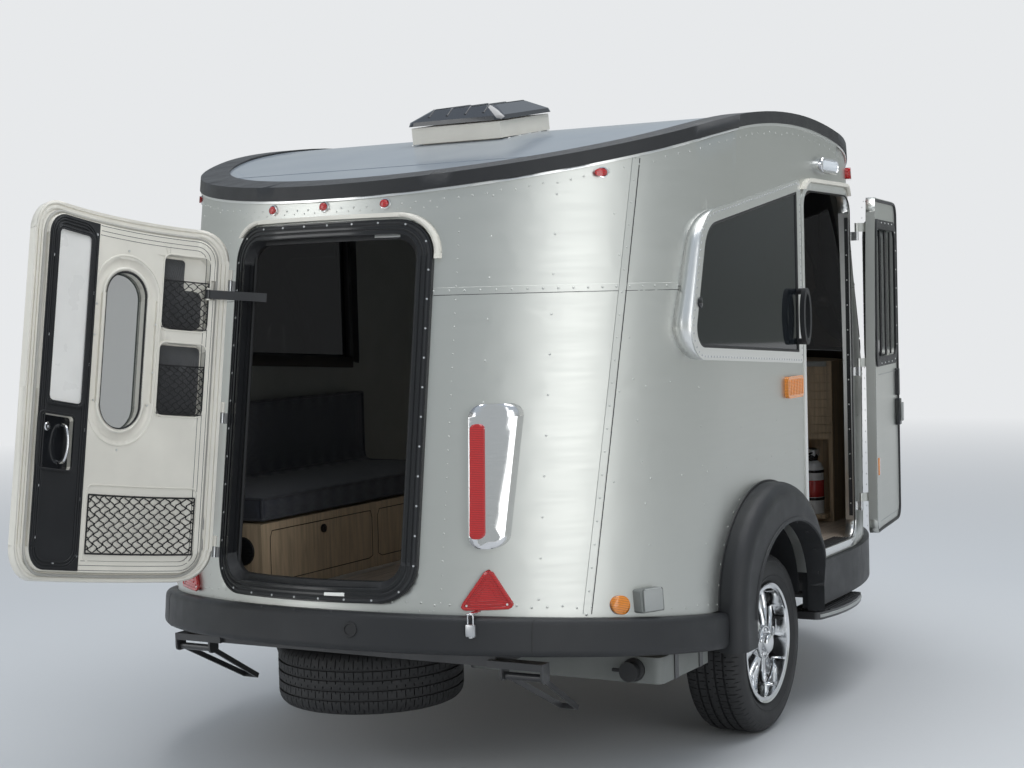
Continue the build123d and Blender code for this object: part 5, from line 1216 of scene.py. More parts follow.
def dress_side_door():
    """The open side door: seals, screws, window bars, pull, lock, reflector and rivets."""
    heads, seals, black, pale = bmesh.new(), bmesh.new(), bmesh.new(), bmesh.new()
    for p in panel_path(DOOR_LEAF, -0.014, 0.045):
        rivet(heads, *door_spot(p.x, p.y, 0.0, False), radius=0.0034)
    ring = [door_spot(p.x, p.y, WALL_THICK) for p in panel_path(DOOR_LEAF, -0.010, 0.014)]
    sweep(seals, ring, [(0.006, 0), (0.0055, 0.006), (0, 0.009), (-0.0055, 0.006), (-0.006, 0)], closed=True)
    lining = [
        door_spot(p.x, p.y, WALL_THICK)
        for p in panel_path((0.412, 0.660, 0.958, 1.290, 0.030), 0, 0.014)
    ]
    sweep(pale, lining, strip(0.002, 0.0015), closed=True)
    for inner, deep in ((True, WALL_THICK + 0.008), (False, 0.0)):
        for p in panel_path(DOOR_WINDOW, 0.022 if inner else 0.014, 0.085):
            screw(heads, *door_spot(p.x, p.y, deep, inner), radius=0.0035)
        if not inner:
            path = [door_spot(p.x, p.y, deep, inner) for p in panel_path(DOOR_WINDOW, 0.012, 0.014)]
            sweep(black, path, strip(0.016, 0.004), closed=True)
        path = [door_spot(p.x, p.y, deep, inner) for p in panel_path(DOOR_WINDOW, -0.002, 0.014)]
        sweep(seals, path, [(0.005, 0), (0.004, 0.004), (-0.004, 0.003), (-0.005, -0.004)], closed=True)
    for x in (0.575, 0.690, 0.805):
        low, away = door_spot(x, 1.372, WALL_THICK + 0.004)
        high, away = door_spot(x, 1.908, WALL_THICK + 0.004)
        tube(black, [low, high], 0.0045, 10)
    # Lock case with its lever inside, the outer pull, and the reflector near the lower corner
    case, away = door_spot(0.432, 1.105, WALL_THICK)
    turn = frame_turn(away)
    block(black, case + away * 0.010, (0.052, 0.120, 0.020), turn, 0.005)
    block(pale, case + away * 0.026, (0.022, 0.085, 0.012), turn, 0.004)
    pull, away = door_spot(0.440, 1.150, 0.0, False)
    turn = frame_turn(away)
    block(black, pull + away * 0.005, (0.070, 0.170, 0.010), turn, 0.004)
    block(pale, pull + away * 0.014, (0.040, 0.090, 0.012), turn, 0.004)
    lathe(heads, pull + away * 0.010 - UP * 0.062, away, LOCK_FACE, 20)
    reflector = bmesh.new()
    spot, away = door_spot(0.900, 0.90, WALL_THICK)
    block(reflector, spot + away * 0.004, (0.028, 0.075, 0.008), frame_turn(away), 0.003)
    piece("door_reflector", reflector, "amber_lens", "side_door")
    piece("door_rivets", heads, "bright_aluminium", "side_door", crisp=60)
    piece("door_seals", seals, "rubber", "side_door")
    piece("door_black_fittings", black, "gloss_black", "side_door")
    piece("door_grey_fittings", pale, "grey_plastic", "side_door")


def dress_doorway():
    """The side doorway: the jamb's black strip with screws, seal, sill plate and frame rivets."""
    jamb = Skin(["side_door_frame"])
    heads, black, seals, plate = bmesh.new(), bmesh.new(), bmesh.new(), bmesh.new()
    for p in panel_path(DOOR_PANEL, 0.016, 0.05):
        hit = jamb.beside(p.x, p.y, -1)
        if hit:
            rivet(heads, *hit, radius=0.0032)
    y = -BODY_HALF + 0.010
    ring = [(at(p.x, y, p.y), Vector((0, -1, 0))) for p in panel_path(DOOR_PANEL, -0.002, 0.014)]
    sweep(seals, ring, [(0.002, 0), (0.0015, 0.004), (-0.0015, 0.004), (-0.002, 0)], closed=True)
    for x in (DOOR_PANEL[0], DOOR_PANEL[2]):
        toward = 1 if x < 0.6 else -1
        low, high = at(x + toward * 0.0015, -1.043, 0.70), at(x + toward * 0.0015, -1.043, 1.96)
        block(black, (low + high) / 2, (0.003, 0.016, (high - low).length), None, 0.001, 1)
        for k in range(12):
            screw(
                heads, low.lerp(high, (k + 0.5) / 12) + Vector((toward * 0.0015, 0, 0)),
                Vector((toward, 0, 0)), 0.0035, 0.0012
            )
    # Strike plate where the latch bolt goes in
    block(heads, at(0.388, -1.050, 1.14), (0.003, 0.020, 0.090), None, 0.001, 1)
    # Black ribbed sill on the skirt's ledge, with a bright tread edge
    for k in range(7):
        block(black, at(0.685, -0.985 - 0.012 * k, 0.6125), (0.500, 0.006, 0.005), None, 0.0012, 1)
    block(plate, at(0.685, -1.064, 0.6125), (0.540, 0.014, 0.004), None, 0.001, 1)
    piece("doorway_rivets", heads, "bright_aluminium", crisp=60)
    piece("doorway_black_strips", black, "rubber")
    piece("doorway_seal", seals, "rubber")
    piece("doorway_tread_edge", plate, "bright_aluminium")


TYRE_CROWN = 0.336
SIPE_DEPTH = 0.0055
LOCK_FACE = [(0.012, 0), (0.012, 0.004), (0.003, 0.004), (0, 0.002)]


def tyre_profile(half):
    """Half a tyre's section as (radius, distance from the middle, tread depth) from the crown out."""
    crown = TYRE_CROWN
    tread = half - 0.028
    spots = [(crown, 0.0045, 0.0)]
    for middle in (0.018, 0.052):
        spots += [
            (crown - 0.0002, middle - 0.012, 1.0), (crown - 0.0002, middle - 0.0045, 1.0),
            (crown - 0.0080, middle - 0.0035, 0.0), (crown - 0.0080, middle + 0.0035, 0.0),
            (crown - 0.0006, middle + 0.0045, 1.0), (crown - 0.0008, middle + 0.014, 1.0),
        ]
    spots += [
        (crown - 0.002, tread - 0.012, 1.0), (crown - 0.005, tread, 1.0), (crown - 0.011, tread + 0.010, 1.0),
        (crown - 0.020, half - 0.009, 0.6), (crown - 0.030, half - 0.0045, 0.0),
        (crown - 0.032, half - 0.006, 0.0),
        (crown - 0.046, half - 0.001, 0.0), (crown - 0.062, half, 0.0), (crown - 0.078, half - 0.002, 0.0),
        (crown - 0.080, half - 0.0045, 0.0), (crown - 0.083, half - 0.0045, 0.0),
        (crown - 0.085, half - 0.003, 0.0),
        (crown - 0.098, half - 0.010, 0.0), (crown - 0.108, half - 0.020, 0.0),
        (crown - 0.112, half - 0.022, 0.0),
        (0.2185, half - 0.027, 0.0),
    ]
    return spots


PITCHES = 64
CUTS = [
    (0.0, 0.0), (0.10, 0.0), (0.13, 1.0), (0.19, 1.0), (0.22, 0.0), (0.60, 0.0), (0.63, 2.0), (0.69, 2.0),
    (0.72, 0.0)
]


def tyre(name, node, centre, half, axis, body):
    """A road tyre with grooves, sipes in its ribs, and ribbed sidewalls, in place of the CAD's."""
    mesh = bmesh.new()
    section = tyre_profile(half)
    around = [(r, -y, d, k) for k, (r, y, d) in reversed(list(enumerate(section)))]
    around += [(r, y, d, k) for k, (r, y, d) in enumerate(section)]
    right, up, out = axes_for(axis)
    rings = []
    for pitch in range(PITCHES):
        for share, cut in CUTS:
            angle = 2 * math.pi * (pitch + share) / PITCHES
            spoke = right * math.cos(angle) + up * math.sin(angle)
            ring = []
            for radius, offset, depth, index in around:
                side = 1.0 if (index // 3 + (offset > 0)) % 2 else 2.0
                sunk = SIPE_DEPTH * depth if cut == side else 0.0
                ring.append(mesh.verts.new(centre + spoke * (radius - sunk) + out * offset))
            rings.append(ring)
    for first, second in zip(rings, rings[1:] + rings[:1]):
        join_rings(mesh, first, second, closed=False)
    piece(name, mesh, "tyre", body, crisp=32, replaces=[node])


def dress_wheels():
    """Tyres, the rims' lips, caps, nuts and valves, the drums, and the spare's disc."""
    for side_name, hand in (("left", 1), ("right", -1)):
        node = f"tyre_{side_name}"
        low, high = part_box(node)
        centre = (low + high) / 2
        half = (high.y - low.y) / 2
        body = f"wheel_{side_name}"
        tyre(f"road_{node}", node, centre, half, (0, 1, 0), body)
        out = Vector((0, hand, 0))
        face = half - 0.014
        metal = bmesh.new()
        lathe(
            metal, centre, out,
            [
                (0.2085, face - 0.045), (0.2065, face - 0.020), (0.2090, face - 0.004),
                (0.2180, face + 0.001),
                (0.2245, face + 0.004), (0.2255, face + 0.001), (0.2215, face - 0.006),
                (0.2150, face - 0.012),
            ],
            96,
        )
        # The spokes stand on a back disc; the cap is a stepped dome in the middle
        lathe(
            metal, centre, out,
            [
                (0.0365, half - 0.030), (0.0360, half - 0.008), (0.033, half - 0.003), (0.026, half),
                (0.012, half + 0.002), (0, half + 0.0025)
            ],
            48,
        )
        lathe(
            metal, centre, out,
            [(0.0635, half - 0.030), (0.062, half - 0.0245), (0.058, half - 0.024), (0.056, half - 0.028)], 48
        )
        nuts = bmesh.new()
        for k in range(5):
            angle = 2 * math.pi * (k + 0.25) / 5
            spot = centre + Vector((math.cos(angle), 0, math.sin(angle))) * 0.049
            lathe(
                nuts, spot, out,
                [(0.0070, half - 0.028), (0.0070, half - 0.021), (0.0055, half - 0.0195), (0, half - 0.019)],
                6
            )
            lathe(
                nuts, spot, out, [(0.0095, half - 0.0262), (0.0095, half - 0.0250), (0.008, half - 0.0246)],
                16
            )
        valve = bmesh.new()
        angle = math.radians(18)
        stem = centre + Vector((math.cos(angle), 0, math.sin(angle))) * 0.196
        lathe(
            valve, stem, out,
            [
                (0.005, face - 0.045), (0.005, face - 0.022), (0.004, face - 0.020), (0.004, face - 0.010),
                (0, face - 0.009)
            ],
            12
        )
        piece(f"rim_lip_{side_name}", metal, "polished_rim", body, crisp=50)
        piece(f"wheel_nuts_{side_name}", nuts, "lamp_chrome", body, crisp=30)
        piece(f"tyre_valve_{side_name}", valve, "rubber", body)
        # Brake drum seen between the spokes
        drum = bmesh.new()
        lathe(
            drum, centre, out,
            [
                (0, 0.022), (0.060, 0.022), (0.064, 0.016), (0.120, 0.012), (0.127, 0.006), (0.127, -0.050),
                (0.118, -0.052)
            ],
            56,
        )
        for k in range(5):
            angle = 2 * math.pi * (k + 0.75) / 5
            spot = centre + Vector((math.cos(angle), 0, math.sin(angle))) * 0.095
            lathe(drum, spot, out, [(0.008, 0.012), (0.008, 0.017), (0, 0.018)], 6)
        piece(f"brake_drum_{side_name}", drum, "chassis_steel", body, crisp=40)
    low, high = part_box("spare_wheel")
    centre = (low + high) / 2
    tyre("spare_tyre", "spare_wheel", centre, (high.z - low.z) / 2, (0, 0, 1), "body")
    disc = bmesh.new()
    half = (high.z - low.z) / 2
    lathe(
        disc, centre, (0, 0, -1),
        [
            (0, 0.020), (0.055, 0.020), (0.062, 0.026), (0.085, 0.028), (0.150, 0.018), (0.196, 0.020),
            (0.206, 0.060), (0.218, half - 0.024), (0.226, half - 0.020), (0.220, half - 0.034),
        ],
        64,
    )
    for k in range(5):
        angle = 2 * math.pi * k / 5
        lathe(
            disc, centre + Vector((math.cos(angle), math.sin(angle), 0)) * 0.045, (0, 0, -1),
            [(0.010, 0.020), (0.010, 0.032), (0, 0.034)], 6
        )
    piece("spare_rim", disc, "chassis_steel", crisp=40)


def dress_lamps():
    """The lamps' rims, ribs and screws, a padlock and the socket's lid."""
    rear = Skin(["rear_wall", "tail_lamps", "red_lamps"])
    chrome, red, heads = bmesh.new(), bmesh.new(), bmesh.new()
    for hand in (-1, 1):
        # Frame and reflecting ridges of the triangle
        middle_y, foot, tall, wide = hand * 0.606, 0.660, 0.130, 0.150
        points = [(-wide / 2, 0), (wide / 2, 0), (0, tall)]
        for shrink, half_w in ((0.96, 0.005), (0.70, 0.0016), (0.45, 0.0016)):
            corner_list = []
            for u, v in points:
                corner_list.append(
                    (middle_y + u * shrink, foot + tall / 3 + (v - tall / 3) * shrink, 0.008 * shrink)
                )
            ring = [rear.behind(p.x, p.y) for p in rounded_path(corner_list, 0, 0.008)]
            sweep_hits(red, ring, strip(half_w, 0.004 if half_w > 0.003 else 0.002))
        for u in (-0.055, 0.055):
            hit = rear.behind(middle_y + u, foot + 0.012)
            if hit:
                screw(heads, *hit, radius=0.004)
    # A small padlock that hangs from a tab below the right triangle
    low, out = Skin(["rear_bumper"]).hit(at(-3, -0.590, 0.600), (1, 0, 0), 3)
    spot = Vector((low.x - 0.014, low.y, GROUND + 0.640))
    lock = bmesh.new()
    block(lock, spot + Vector((0.020, 0, 0.016)), (0.064, 0.022, 0.004), None, 0.001, 1)
    arc = [
        spot + Vector((0, 0.010 * math.cos(a), 0.004 + 0.014 * math.sin(a)))
        for a in [math.pi * k / 12 for k in range(13)]
    ]
    tube(lock, [arc[0] - UP * 0.024, *arc, arc[-1] - UP * 0.024], 0.0024, 8)
    piece("padlock_shackle", lock, "lamp_chrome", crisp=50)
    lock = bmesh.new()
    block(lock, spot - UP * 0.038, (0.014, 0.034, 0.040), None, 0.004)
    lathe(lock, spot - UP * 0.056, (0, 0, -1), [(0.007, 0), (0.007, 0.005), (0.002, 0.005), (0, 0.003)], 16)
    piece("padlock_case", lock, "zinc_steel")
    piece("triangle_ridges", red, "red_lens")
    piece("lamp_screws", heads, "bright_aluminium", crisp=60)
    # Chrome rings round the small markers
    spots = [(-0.844, 2.059), (0.844, 2.059), (0.0, 1.974), (-0.229, 1.974), (0.229, 1.974)]
    for y, z in spots:
        point, out = rear_surface(y, z, 0.0)
        lathe(chrome, point, out, [(0.0195, 0), (0.0185, 0.004), (0.0145, 0.005), (0.0130, 0.002)], 24)
    # Porch lamp: chrome rim, clear lens with ribs
    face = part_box("porch_lamp")[0].y
    corners = panel_corners(0.650 - 0.100, 2.155 - 0.026, 0.650 + 0.100, 2.155 + 0.026, 0.0255)
    ring = [(at(p.x, face + 0.001, p.y), Vector((0, -1, 0))) for p in rounded_path(corners, 0, 0.010)]
    sweep(chrome, ring, [(0.006, 0), (0.004, 0.005), (-0.003, 0.005), (-0.006, 0)], closed=True)
    glass = bmesh.new()
    for k in range(15):
        x = 0.650 - 0.077 + 0.011 * k
        block(glass, at(x, face - 0.001, 2.155), (0.007, 0.006, 0.038), None, 0.002, 1)
    piece("porch_lens", glass, "clear_lens")
    # Socket box: its sprung lid and hinge
    point, out = Skin(["socket_box"]).beside(-0.934, 0.645, -1)
    turn = frame_turn(out)
    lid = bmesh.new()
    block(lid, point + out * 0.003, (0.080, 0.070, 0.007), turn, 0.003)
    ends = [point + turn.to_3x3() @ Vector((side * 0.034, 0.036, 0.002)) for side in (-1, 1)]
    tube(lid, ends, 0.004)
    piece("socket_lid", lid, "grey_plastic")
    piece("lamp_rims", chrome, "lamp_chrome", crisp=50)
    # Ribs of the side lamp
    amber = bmesh.new()
    lamp = Skin(["amber_lamps"])
    for k in range(9):
        x = 0.166 + 0.0172 * k
        hit = lamp.beside(x, 1.287, -1)
        if hit:
            block(amber, hit[0], (0.006, 0.004, 0.060), None, 0.001, 1)
    piece("amber_ribs", amber, "amber_lens")


def dress_flares_and_bumper():
    """Rolled lips of the wheel flares, the bumper's joint and the round plug in it."""
    lips, black, heads = bmesh.new(), bmesh.new(), bmesh.new()
    centre_x, centre_z, half_x, half_z = -0.020, 0.500, 0.380, 0.300
    outer_x, outer_z, wide_x, wide_z = -0.083, 0.550, 0.457, 0.402
    flare = Skin(["wheel_flares"])
    for hand in (-1, 1):
        arc = []
        for k in range(61):
            angle = math.pi * k / 60
            x = centre_x + (half_x + 0.010) * math.cos(angle)
            z = centre_z + (half_z + 0.010) * math.sin(angle)
            arc.append(flare.beside(x, z, hand))
        sweep_hits(lips, arc, [(0.008, 0), (0.006, 0.004), (0, 0.0055), (-0.006, 0.004), (-0.008, 0)])
        edge = []
        for k in range(61):
            angle = math.pi * k / 60
            x = outer_x + (wide_x + 0.003) * math.cos(angle)
            z = outer_z + (wide_z + 0.003) * math.sin(angle)
            edge.append(SHELL.beside(x, z, hand))
        sweep_hits(black, edge, [(0.004, 0), (0.003, 0.004), (-0.003, 0.004), (-0.004, 0)])
        for k in range(9):
            angle = math.pi * (k + 0.5) / 9
            hit = flare.hit(
                at(centre_x, hand * 1.118, centre_z),
                (math.cos(angle) * half_x, 0, math.sin(angle) * half_z),
                0.6,
            )
            if hit:
                screw(heads, *hit, radius=0.006, height=0.003)
    bumper = Skin(["rear_bumper"])
    for hand in (-1, 1):
        joint = []
        for k in range(24):
            z = 0.50 + 0.0065 * k
            joint.append(bumper.hit(at(-3, hand * 0.745, z), (1, 0, 0), 3))
        sweep_hits(black, joint, strip(0.0022, 0.0012))
    hit = bumper.hit(at(-3, -0.214, 0.603), (1, 0, 0), 3)
    if hit:
        lathe(
            black, hit[0], hit[1],
            [(0.026, -0.001), (0.024, 0.004), (0.018, 0.004), (0.017, 0.001), (0, 0.001)], 28
        )
    for k in range(13):
        y = -0.84 + 0.14 * k
        hit = bumper.hit(at(-3, y, 0.655), (1, 0, 0), 3)
        if hit:
            screw(heads, *hit, radius=0.006, height=0.002)
    piece("flare_lips", lips, "black_moulding")
    piece("flare_and_bumper_beads", black, "rubber")
    piece("flare_screws", heads, "chassis_steel", crisp=60)


def dress_interior():
    """The benches', galley's and extinguisher's fittings."""
    heads, black, pale = bmesh.new(), bmesh.new(), bmesh.new()
    # Bench end: round black vent grille
    centre = at(-1.202, 0.485, 0.775)
    lathe(
        black, centre, (-1, 0, 0),
        [(0.052, -0.002), (0.050, 0.004), (0.042, 0.005), (0.040, 0.001), (0, 0.001)], 32
    )
    for k in range(-3, 4):
        reach = math.sqrt(0.040**2 - (0.011 * k) ** 2)
        block(black, centre + Vector((-0.003, 0, 0.011 * k)), (0.004, 2 * reach, 0.004), None, 0.001, 1)
    # The cabinet doors' outlines with pulls on the benches' fronts
    low_x, high_x = -1.20, 0.290
    for hand in (1, -1):
        front = hand * 0.400
        for low, high in ((low_x + 0.05, low_x + 0.70), (low_x + 0.74, high_x - 0.05)):
            ring = [
                (at(p.x, front, p.y), Vector((0, -hand, 0)))
                for p in panel_path((low, 0.66, high, 0.845, 0.012), 0, 0.03)
            ]
            sweep(black, ring, strip(0.0016, 0.0008), closed=True)
            lathe(
                black, at((low + high) / 2, front, 0.815), (0, -hand, 0),
                [(0.016, 0), (0.016, 0.006), (0.010, 0.007), (0, 0.004)], 24
            )
    # Bright rail along the floor by the benches, as in the photo
    block(heads, at(-0.45, 0.385, 0.619), (1.45, 0.012, 0.012), None, 0.002)
    # Galley: edge trim of the top, sink, tap, two-burner hob and door pulls
    top = 1.340
    block(pale, at(1.405, 0.10, top - 0.012), (0.010, 1.80, 0.024), None, 0.004)
    bowl = bmesh.new()
    lathe(
        bowl, at(1.66, -0.42, top - 0.030), (0, 0, 1),
        [(0, 0.031), (0.020, 0.0315), (0.150, 0.033), (0.165, 0.036), (0.172, 0.034), (0.174, 0.030)], 40
    )
    tap = [at(1.84, -0.42, top), at(1.84, -0.42, top + 0.16)]
    tap += [
        at(1.84 - 0.07 + 0.07 * math.cos(a), -0.42, top + 0.16 + 0.07 * math.sin(a))
        for a in [math.pi * k / 12 for k in range(1, 13)]
    ]
    tap += [at(1.70, -0.42, top + 0.13)]
    tube(bowl, tap, 0.010, 12)
    lathe(bowl, at(1.84, -0.42, top), (0, 0, 1), [(0.024, 0), (0.024, 0.012), (0.014, 0.016)], 24)
    piece("galley_sink", bowl, "lamp_chrome", crisp=50)
    for y in (0.12, 0.40):
        lathe(
            black, at(1.66, y, top), (0, 0, 1),
            [(0.085, 0), (0.085, 0.004), (0.050, 0.006), (0.045, 0.016), (0.030, 0.018), (0, 0.018)], 32
        )
        for k in range(4):
            turn = Matrix.Rotation(math.pi / 2 * k, 4, "Z")
            block(
                black, at(1.66, y, top + 0.024) + turn.to_3x3() @ Vector((0.055, 0, 0)),
                (0.075, 0.006, 0.008), turn, 0.001, 1
            )
    for y in (-0.36, 0.20, 0.70):
        block(heads, at(1.412, y, 0.93), (0.014, 0.110, 0.014), None, 0.004)
    piece("cabin_bright_fittings", heads, "bright_aluminium")
    piece("cabin_black_fittings", black, "gloss_black")
    piece("galley_edge", pale, "grey_plastic")
    # Extinguisher: red band, black head with a lever and a gauge, hose and bracket
    centre = at(1.420, -0.725, 0.650)
    band = bmesh.new()
    lathe(band, centre, UP, [(0.0464, 0.075), (0.0470, 0.076), (0.0470, 0.150), (0.0464, 0.151)], 40)
    piece("extinguisher_band", band, "red_paint")
    head = bmesh.new()
    lathe(head, centre, UP, [(0.019, 0.236), (0.021, 0.240), (0.021, 0.262), (0.014, 0.268), (0, 0.268)], 24)
    block(
        head, centre + Vector((-0.018, 0, 0.296)), (0.090, 0.016, 0.007), Matrix.Rotation(0.10, 4, "Y"), 0.002
    )
    block(
        head, centre + Vector((-0.020, 0, 0.276)), (0.080, 0.014, 0.006), Matrix.Rotation(-0.12, 4, "Y"),
        0.002
    )
    lathe(
        head, centre + Vector((-0.021, 0, 0.252)), (-1, 0, 0),
        [(0.014, 0), (0.014, 0.010), (0.012, 0.011), (0, 0.010)], 20
    )
    hose = [(0.018, 0.252), (0.045, 0.250), (0.058, 0.225), (0.056, 0.150), (0.053, 0.080)]
    tube(head, resample([centre + Vector((0, y, z)) for y, z in hose], 0.012), 0.006, 10)
    for z in (0.060, 0.185):
        lathe(
            head, centre, UP, [(0.0475, z), (0.0482, z + 0.001), (0.0482, z + 0.011), (0.0475, z + 0.012)], 40
        )
    piece("extinguisher_head", head, "gloss_black")


CUSHION_VOXEL = 0.013
CUSHION_CROWN = 0.016
WELT = 0.0045


def sharp_chains(mesh, angle=0.6):
    """The sharp edges of a mesh joined end to end, each chain a list of points."""
    sharp = [edge for edge in mesh.edges if len(edge.link_faces) == 2 and edge.calc_face_angle(0) > angle]
    left = set(sharp)
    chains = []
    for edge in sharp:
        if edge not in left:
            continue
        left.remove(edge)
        chain = [edge.verts[0], edge.verts[1]]
        for end in (-1, 0):
            while True:
                corner = chain[end]
                near = [e for e in corner.link_edges if e in left]
                if len(near) != 1 and not (near and len(chain) == 2):
                    break
                near = near[0]
                heading = (corner.co - chain[-2 if end else 1].co).normalized()
                if heading.dot((near.other_vert(corner).co - corner.co).normalized()) < 0.3:
                    break
                left.discard(near)
                if end:
                    chain.append(near.other_vert(corner))
                else:
                    chain.insert(0, near.other_vert(corner))
        chains.append([corner.co.copy() for corner in chain])
    return chains


def dress_cushions():
    """Stuffed seats and backs with welted seams, in place of the CAD's plain blocks."""
    node = NODES["cushions"]
    plain = bmesh.new()
    plain.from_mesh(node.data)
    plain.transform(node.matrix_world)
    bmesh.ops.remove_doubles(plain, verts=plain.verts, dist=0.0001)
    bmesh.ops.dissolve_limit(plain, angle_limit=0.02, verts=plain.verts, edges=plain.edges)
    chains = sharp_chains(plain)
    samples = [point for chain in chains for point in resample(chain, 0.012)]
    nearest = KDTree(len(samples))
    for index, point in enumerate(samples):
        nearest.insert(point, index)
    nearest.balance()
    data = bpy.data.meshes.new("cushion_blocks")
    plain.to_mesh(data)
    plain.free()
    block_object = bpy.data.objects.new("cushion_blocks", data)
    bpy.context.scene.collection.objects.link(block_object)
    remesh = block_object.modifiers.new("remesh", "REMESH")
    remesh.mode = "VOXEL"
    remesh.voxel_size = CUSHION_VOXEL
    smooth = block_object.modifiers.new("smooth", "SMOOTH")
    smooth.iterations = 4
    settled = block_object.evaluated_get(bpy.context.evaluated_depsgraph_get())
    stuffed = bmesh.new()
    stuffed.from_mesh(settled.to_mesh())
    settled.to_mesh_clear()
    bpy.data.objects.remove(block_object)
    stuffed.normal_update()
    moves = []
    for corner in stuffed.verts:
        spot = corner.co
        gap = nearest.find(spot)[2]
        rise = 1 - math.exp(-((gap / 0.085) ** 1.4))
        crease = 0.0016 * math.sin(70 * (spot.x + 0.3 * spot.y)) * math.exp(-((gap / 0.05) ** 2))
        wave = 0.0016 * math.sin(11 * spot.x + 5 * spot.z) * math.sin(9 * spot.y + 4 * spot.x)
        moves.append(corner.normal * (CUSHION_CROWN * (rise - 1) + crease + wave * rise))
    for corner, move in zip(stuffed.verts, moves):
        corner.co += move
    skin_tree = BVHTree.FromBMesh(stuffed)
    welt = bmesh.new()
    for chain in chains:
        if sum((b - a).length for a, b in zip(chain, chain[1:])) < 0.05:
            continue
        points = []
        for point in resample(chain, 0.016):
            place, normal, index, distance = skin_tree.find_nearest(point)
            points.append(place.lerp(point, 0.12))
        tube(welt, points, WELT, 8)
    made = piece("stuffed_cushions", stuffed, "navy_fabric", crisp=80, replaces=["cushions"])
    piece("cushion_welts", welt, "piping", crisp=60)


def dress_roof():
    """The roof's sheet joints, the vent's screws and sealant, and its lid's ribs."""
    roof = Skin(["roof_panel"], ["vent_base", "vent_lid"])
    laps_made, heads, ribs = bmesh.new(), bmesh.new(), bmesh.new()
    low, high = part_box("roof_panel")
    for x in (0.55, -0.95, 1.60):
        row = [
            roof.hit(Vector((AXLE_X + x, y * 0.01, high.z + 0.3)), (0, 0, -1), 1.5)
            for y in range(-104, 105)
        ]
        lap(laps_made, row, 0.016, 0.0016)
    base_low, base_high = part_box("vent_base")
    middle = (base_low + base_high) / 2
    for hand in (-1, 1):
        for k in range(5):
            for x, y in [
                (middle.x - 0.16 + 0.08 * k, middle.y + hand * 0.212),
                (middle.x + hand * 0.212, middle.y - 0.16 + 0.08 * k)
            ]:
                hit = roof.hit(Vector((x, y, high.z + 0.3)), (0, 0, -1), 1.5)
                if hit:
                    screw(heads, *hit, radius=0.006, height=0.003)
    # A bead of sealant round the vent
    bead = []
    for p in panel_path((-0.205, -0.205, 0.205, 0.205, 0.034), 0, 0.02):
        hit = roof.hit(Vector((middle.x + p.x, middle.y + p.y, high.z + 0.3)), (0, 0, -1), 1.5)
        bead.append(hit)
    for run in runs(bead):
        tube(ribs, [point for point, normal in run], 0.006, 8)
    lid = Skin(["vent_lid"])
    cap = bmesh.new()
    for y in (-0.12, -0.04, 0.04, 0.12):
        row = [
            lid.hit(Vector((middle.x + 0.01 * k, middle.y + y, high.z + 0.6)), (0, 0, -1), 1.5)
            for k in range(-19, 20)
        ]
        sweep_hits(cap, row, strip(0.004, 0.003))
    piece("vent_lid_ribs", cap, "smoked_lid", "vent_lid")
    piece("roof_joints", laps_made, "roof_paint")
    piece("roof_screws", heads, "bright_aluminium", crisp=60)
    piece("vent_sealant", ribs, "grey_plastic")


def dress_nose():
    """The windscreen's rubber seals and the front moulding's screws."""
    seals, heads = bmesh.new(), bmesh.new()
    nose = Skin(["nose_upper"])
    for low, high, head_low, head_high in [
        (-0.960, -0.395, 2.040, 1.945), (-0.345, 0.345, 1.925, 1.925), (0.395, 0.960, 1.945, 2.040)
    ]:
        corners = [
            (low, 1.375, 0.060), (high, 1.375, 0.060), (high, head_high, 0.060), (low, head_low, 0.060)
        ]
        ring = [nose.before(p.x, p.y) for p in rounded_path(corners, 0.007, 0.012)]
        sweep_hits(seals, ring, [(0.007, 0), (0.006, 0.004), (0, 0.0055), (-0.006, 0.004), (-0.007, 0)])
    for k in range(24):
        hit = nose.before(-0.97 + 0.0843 * k, 1.335)
        if hit:
            screw(heads, *hit, radius=0.005)
    piece("windscreen_seals", seals, "rubber")
    piece("nose_screws", heads, "bright_aluminium", crisp=60)


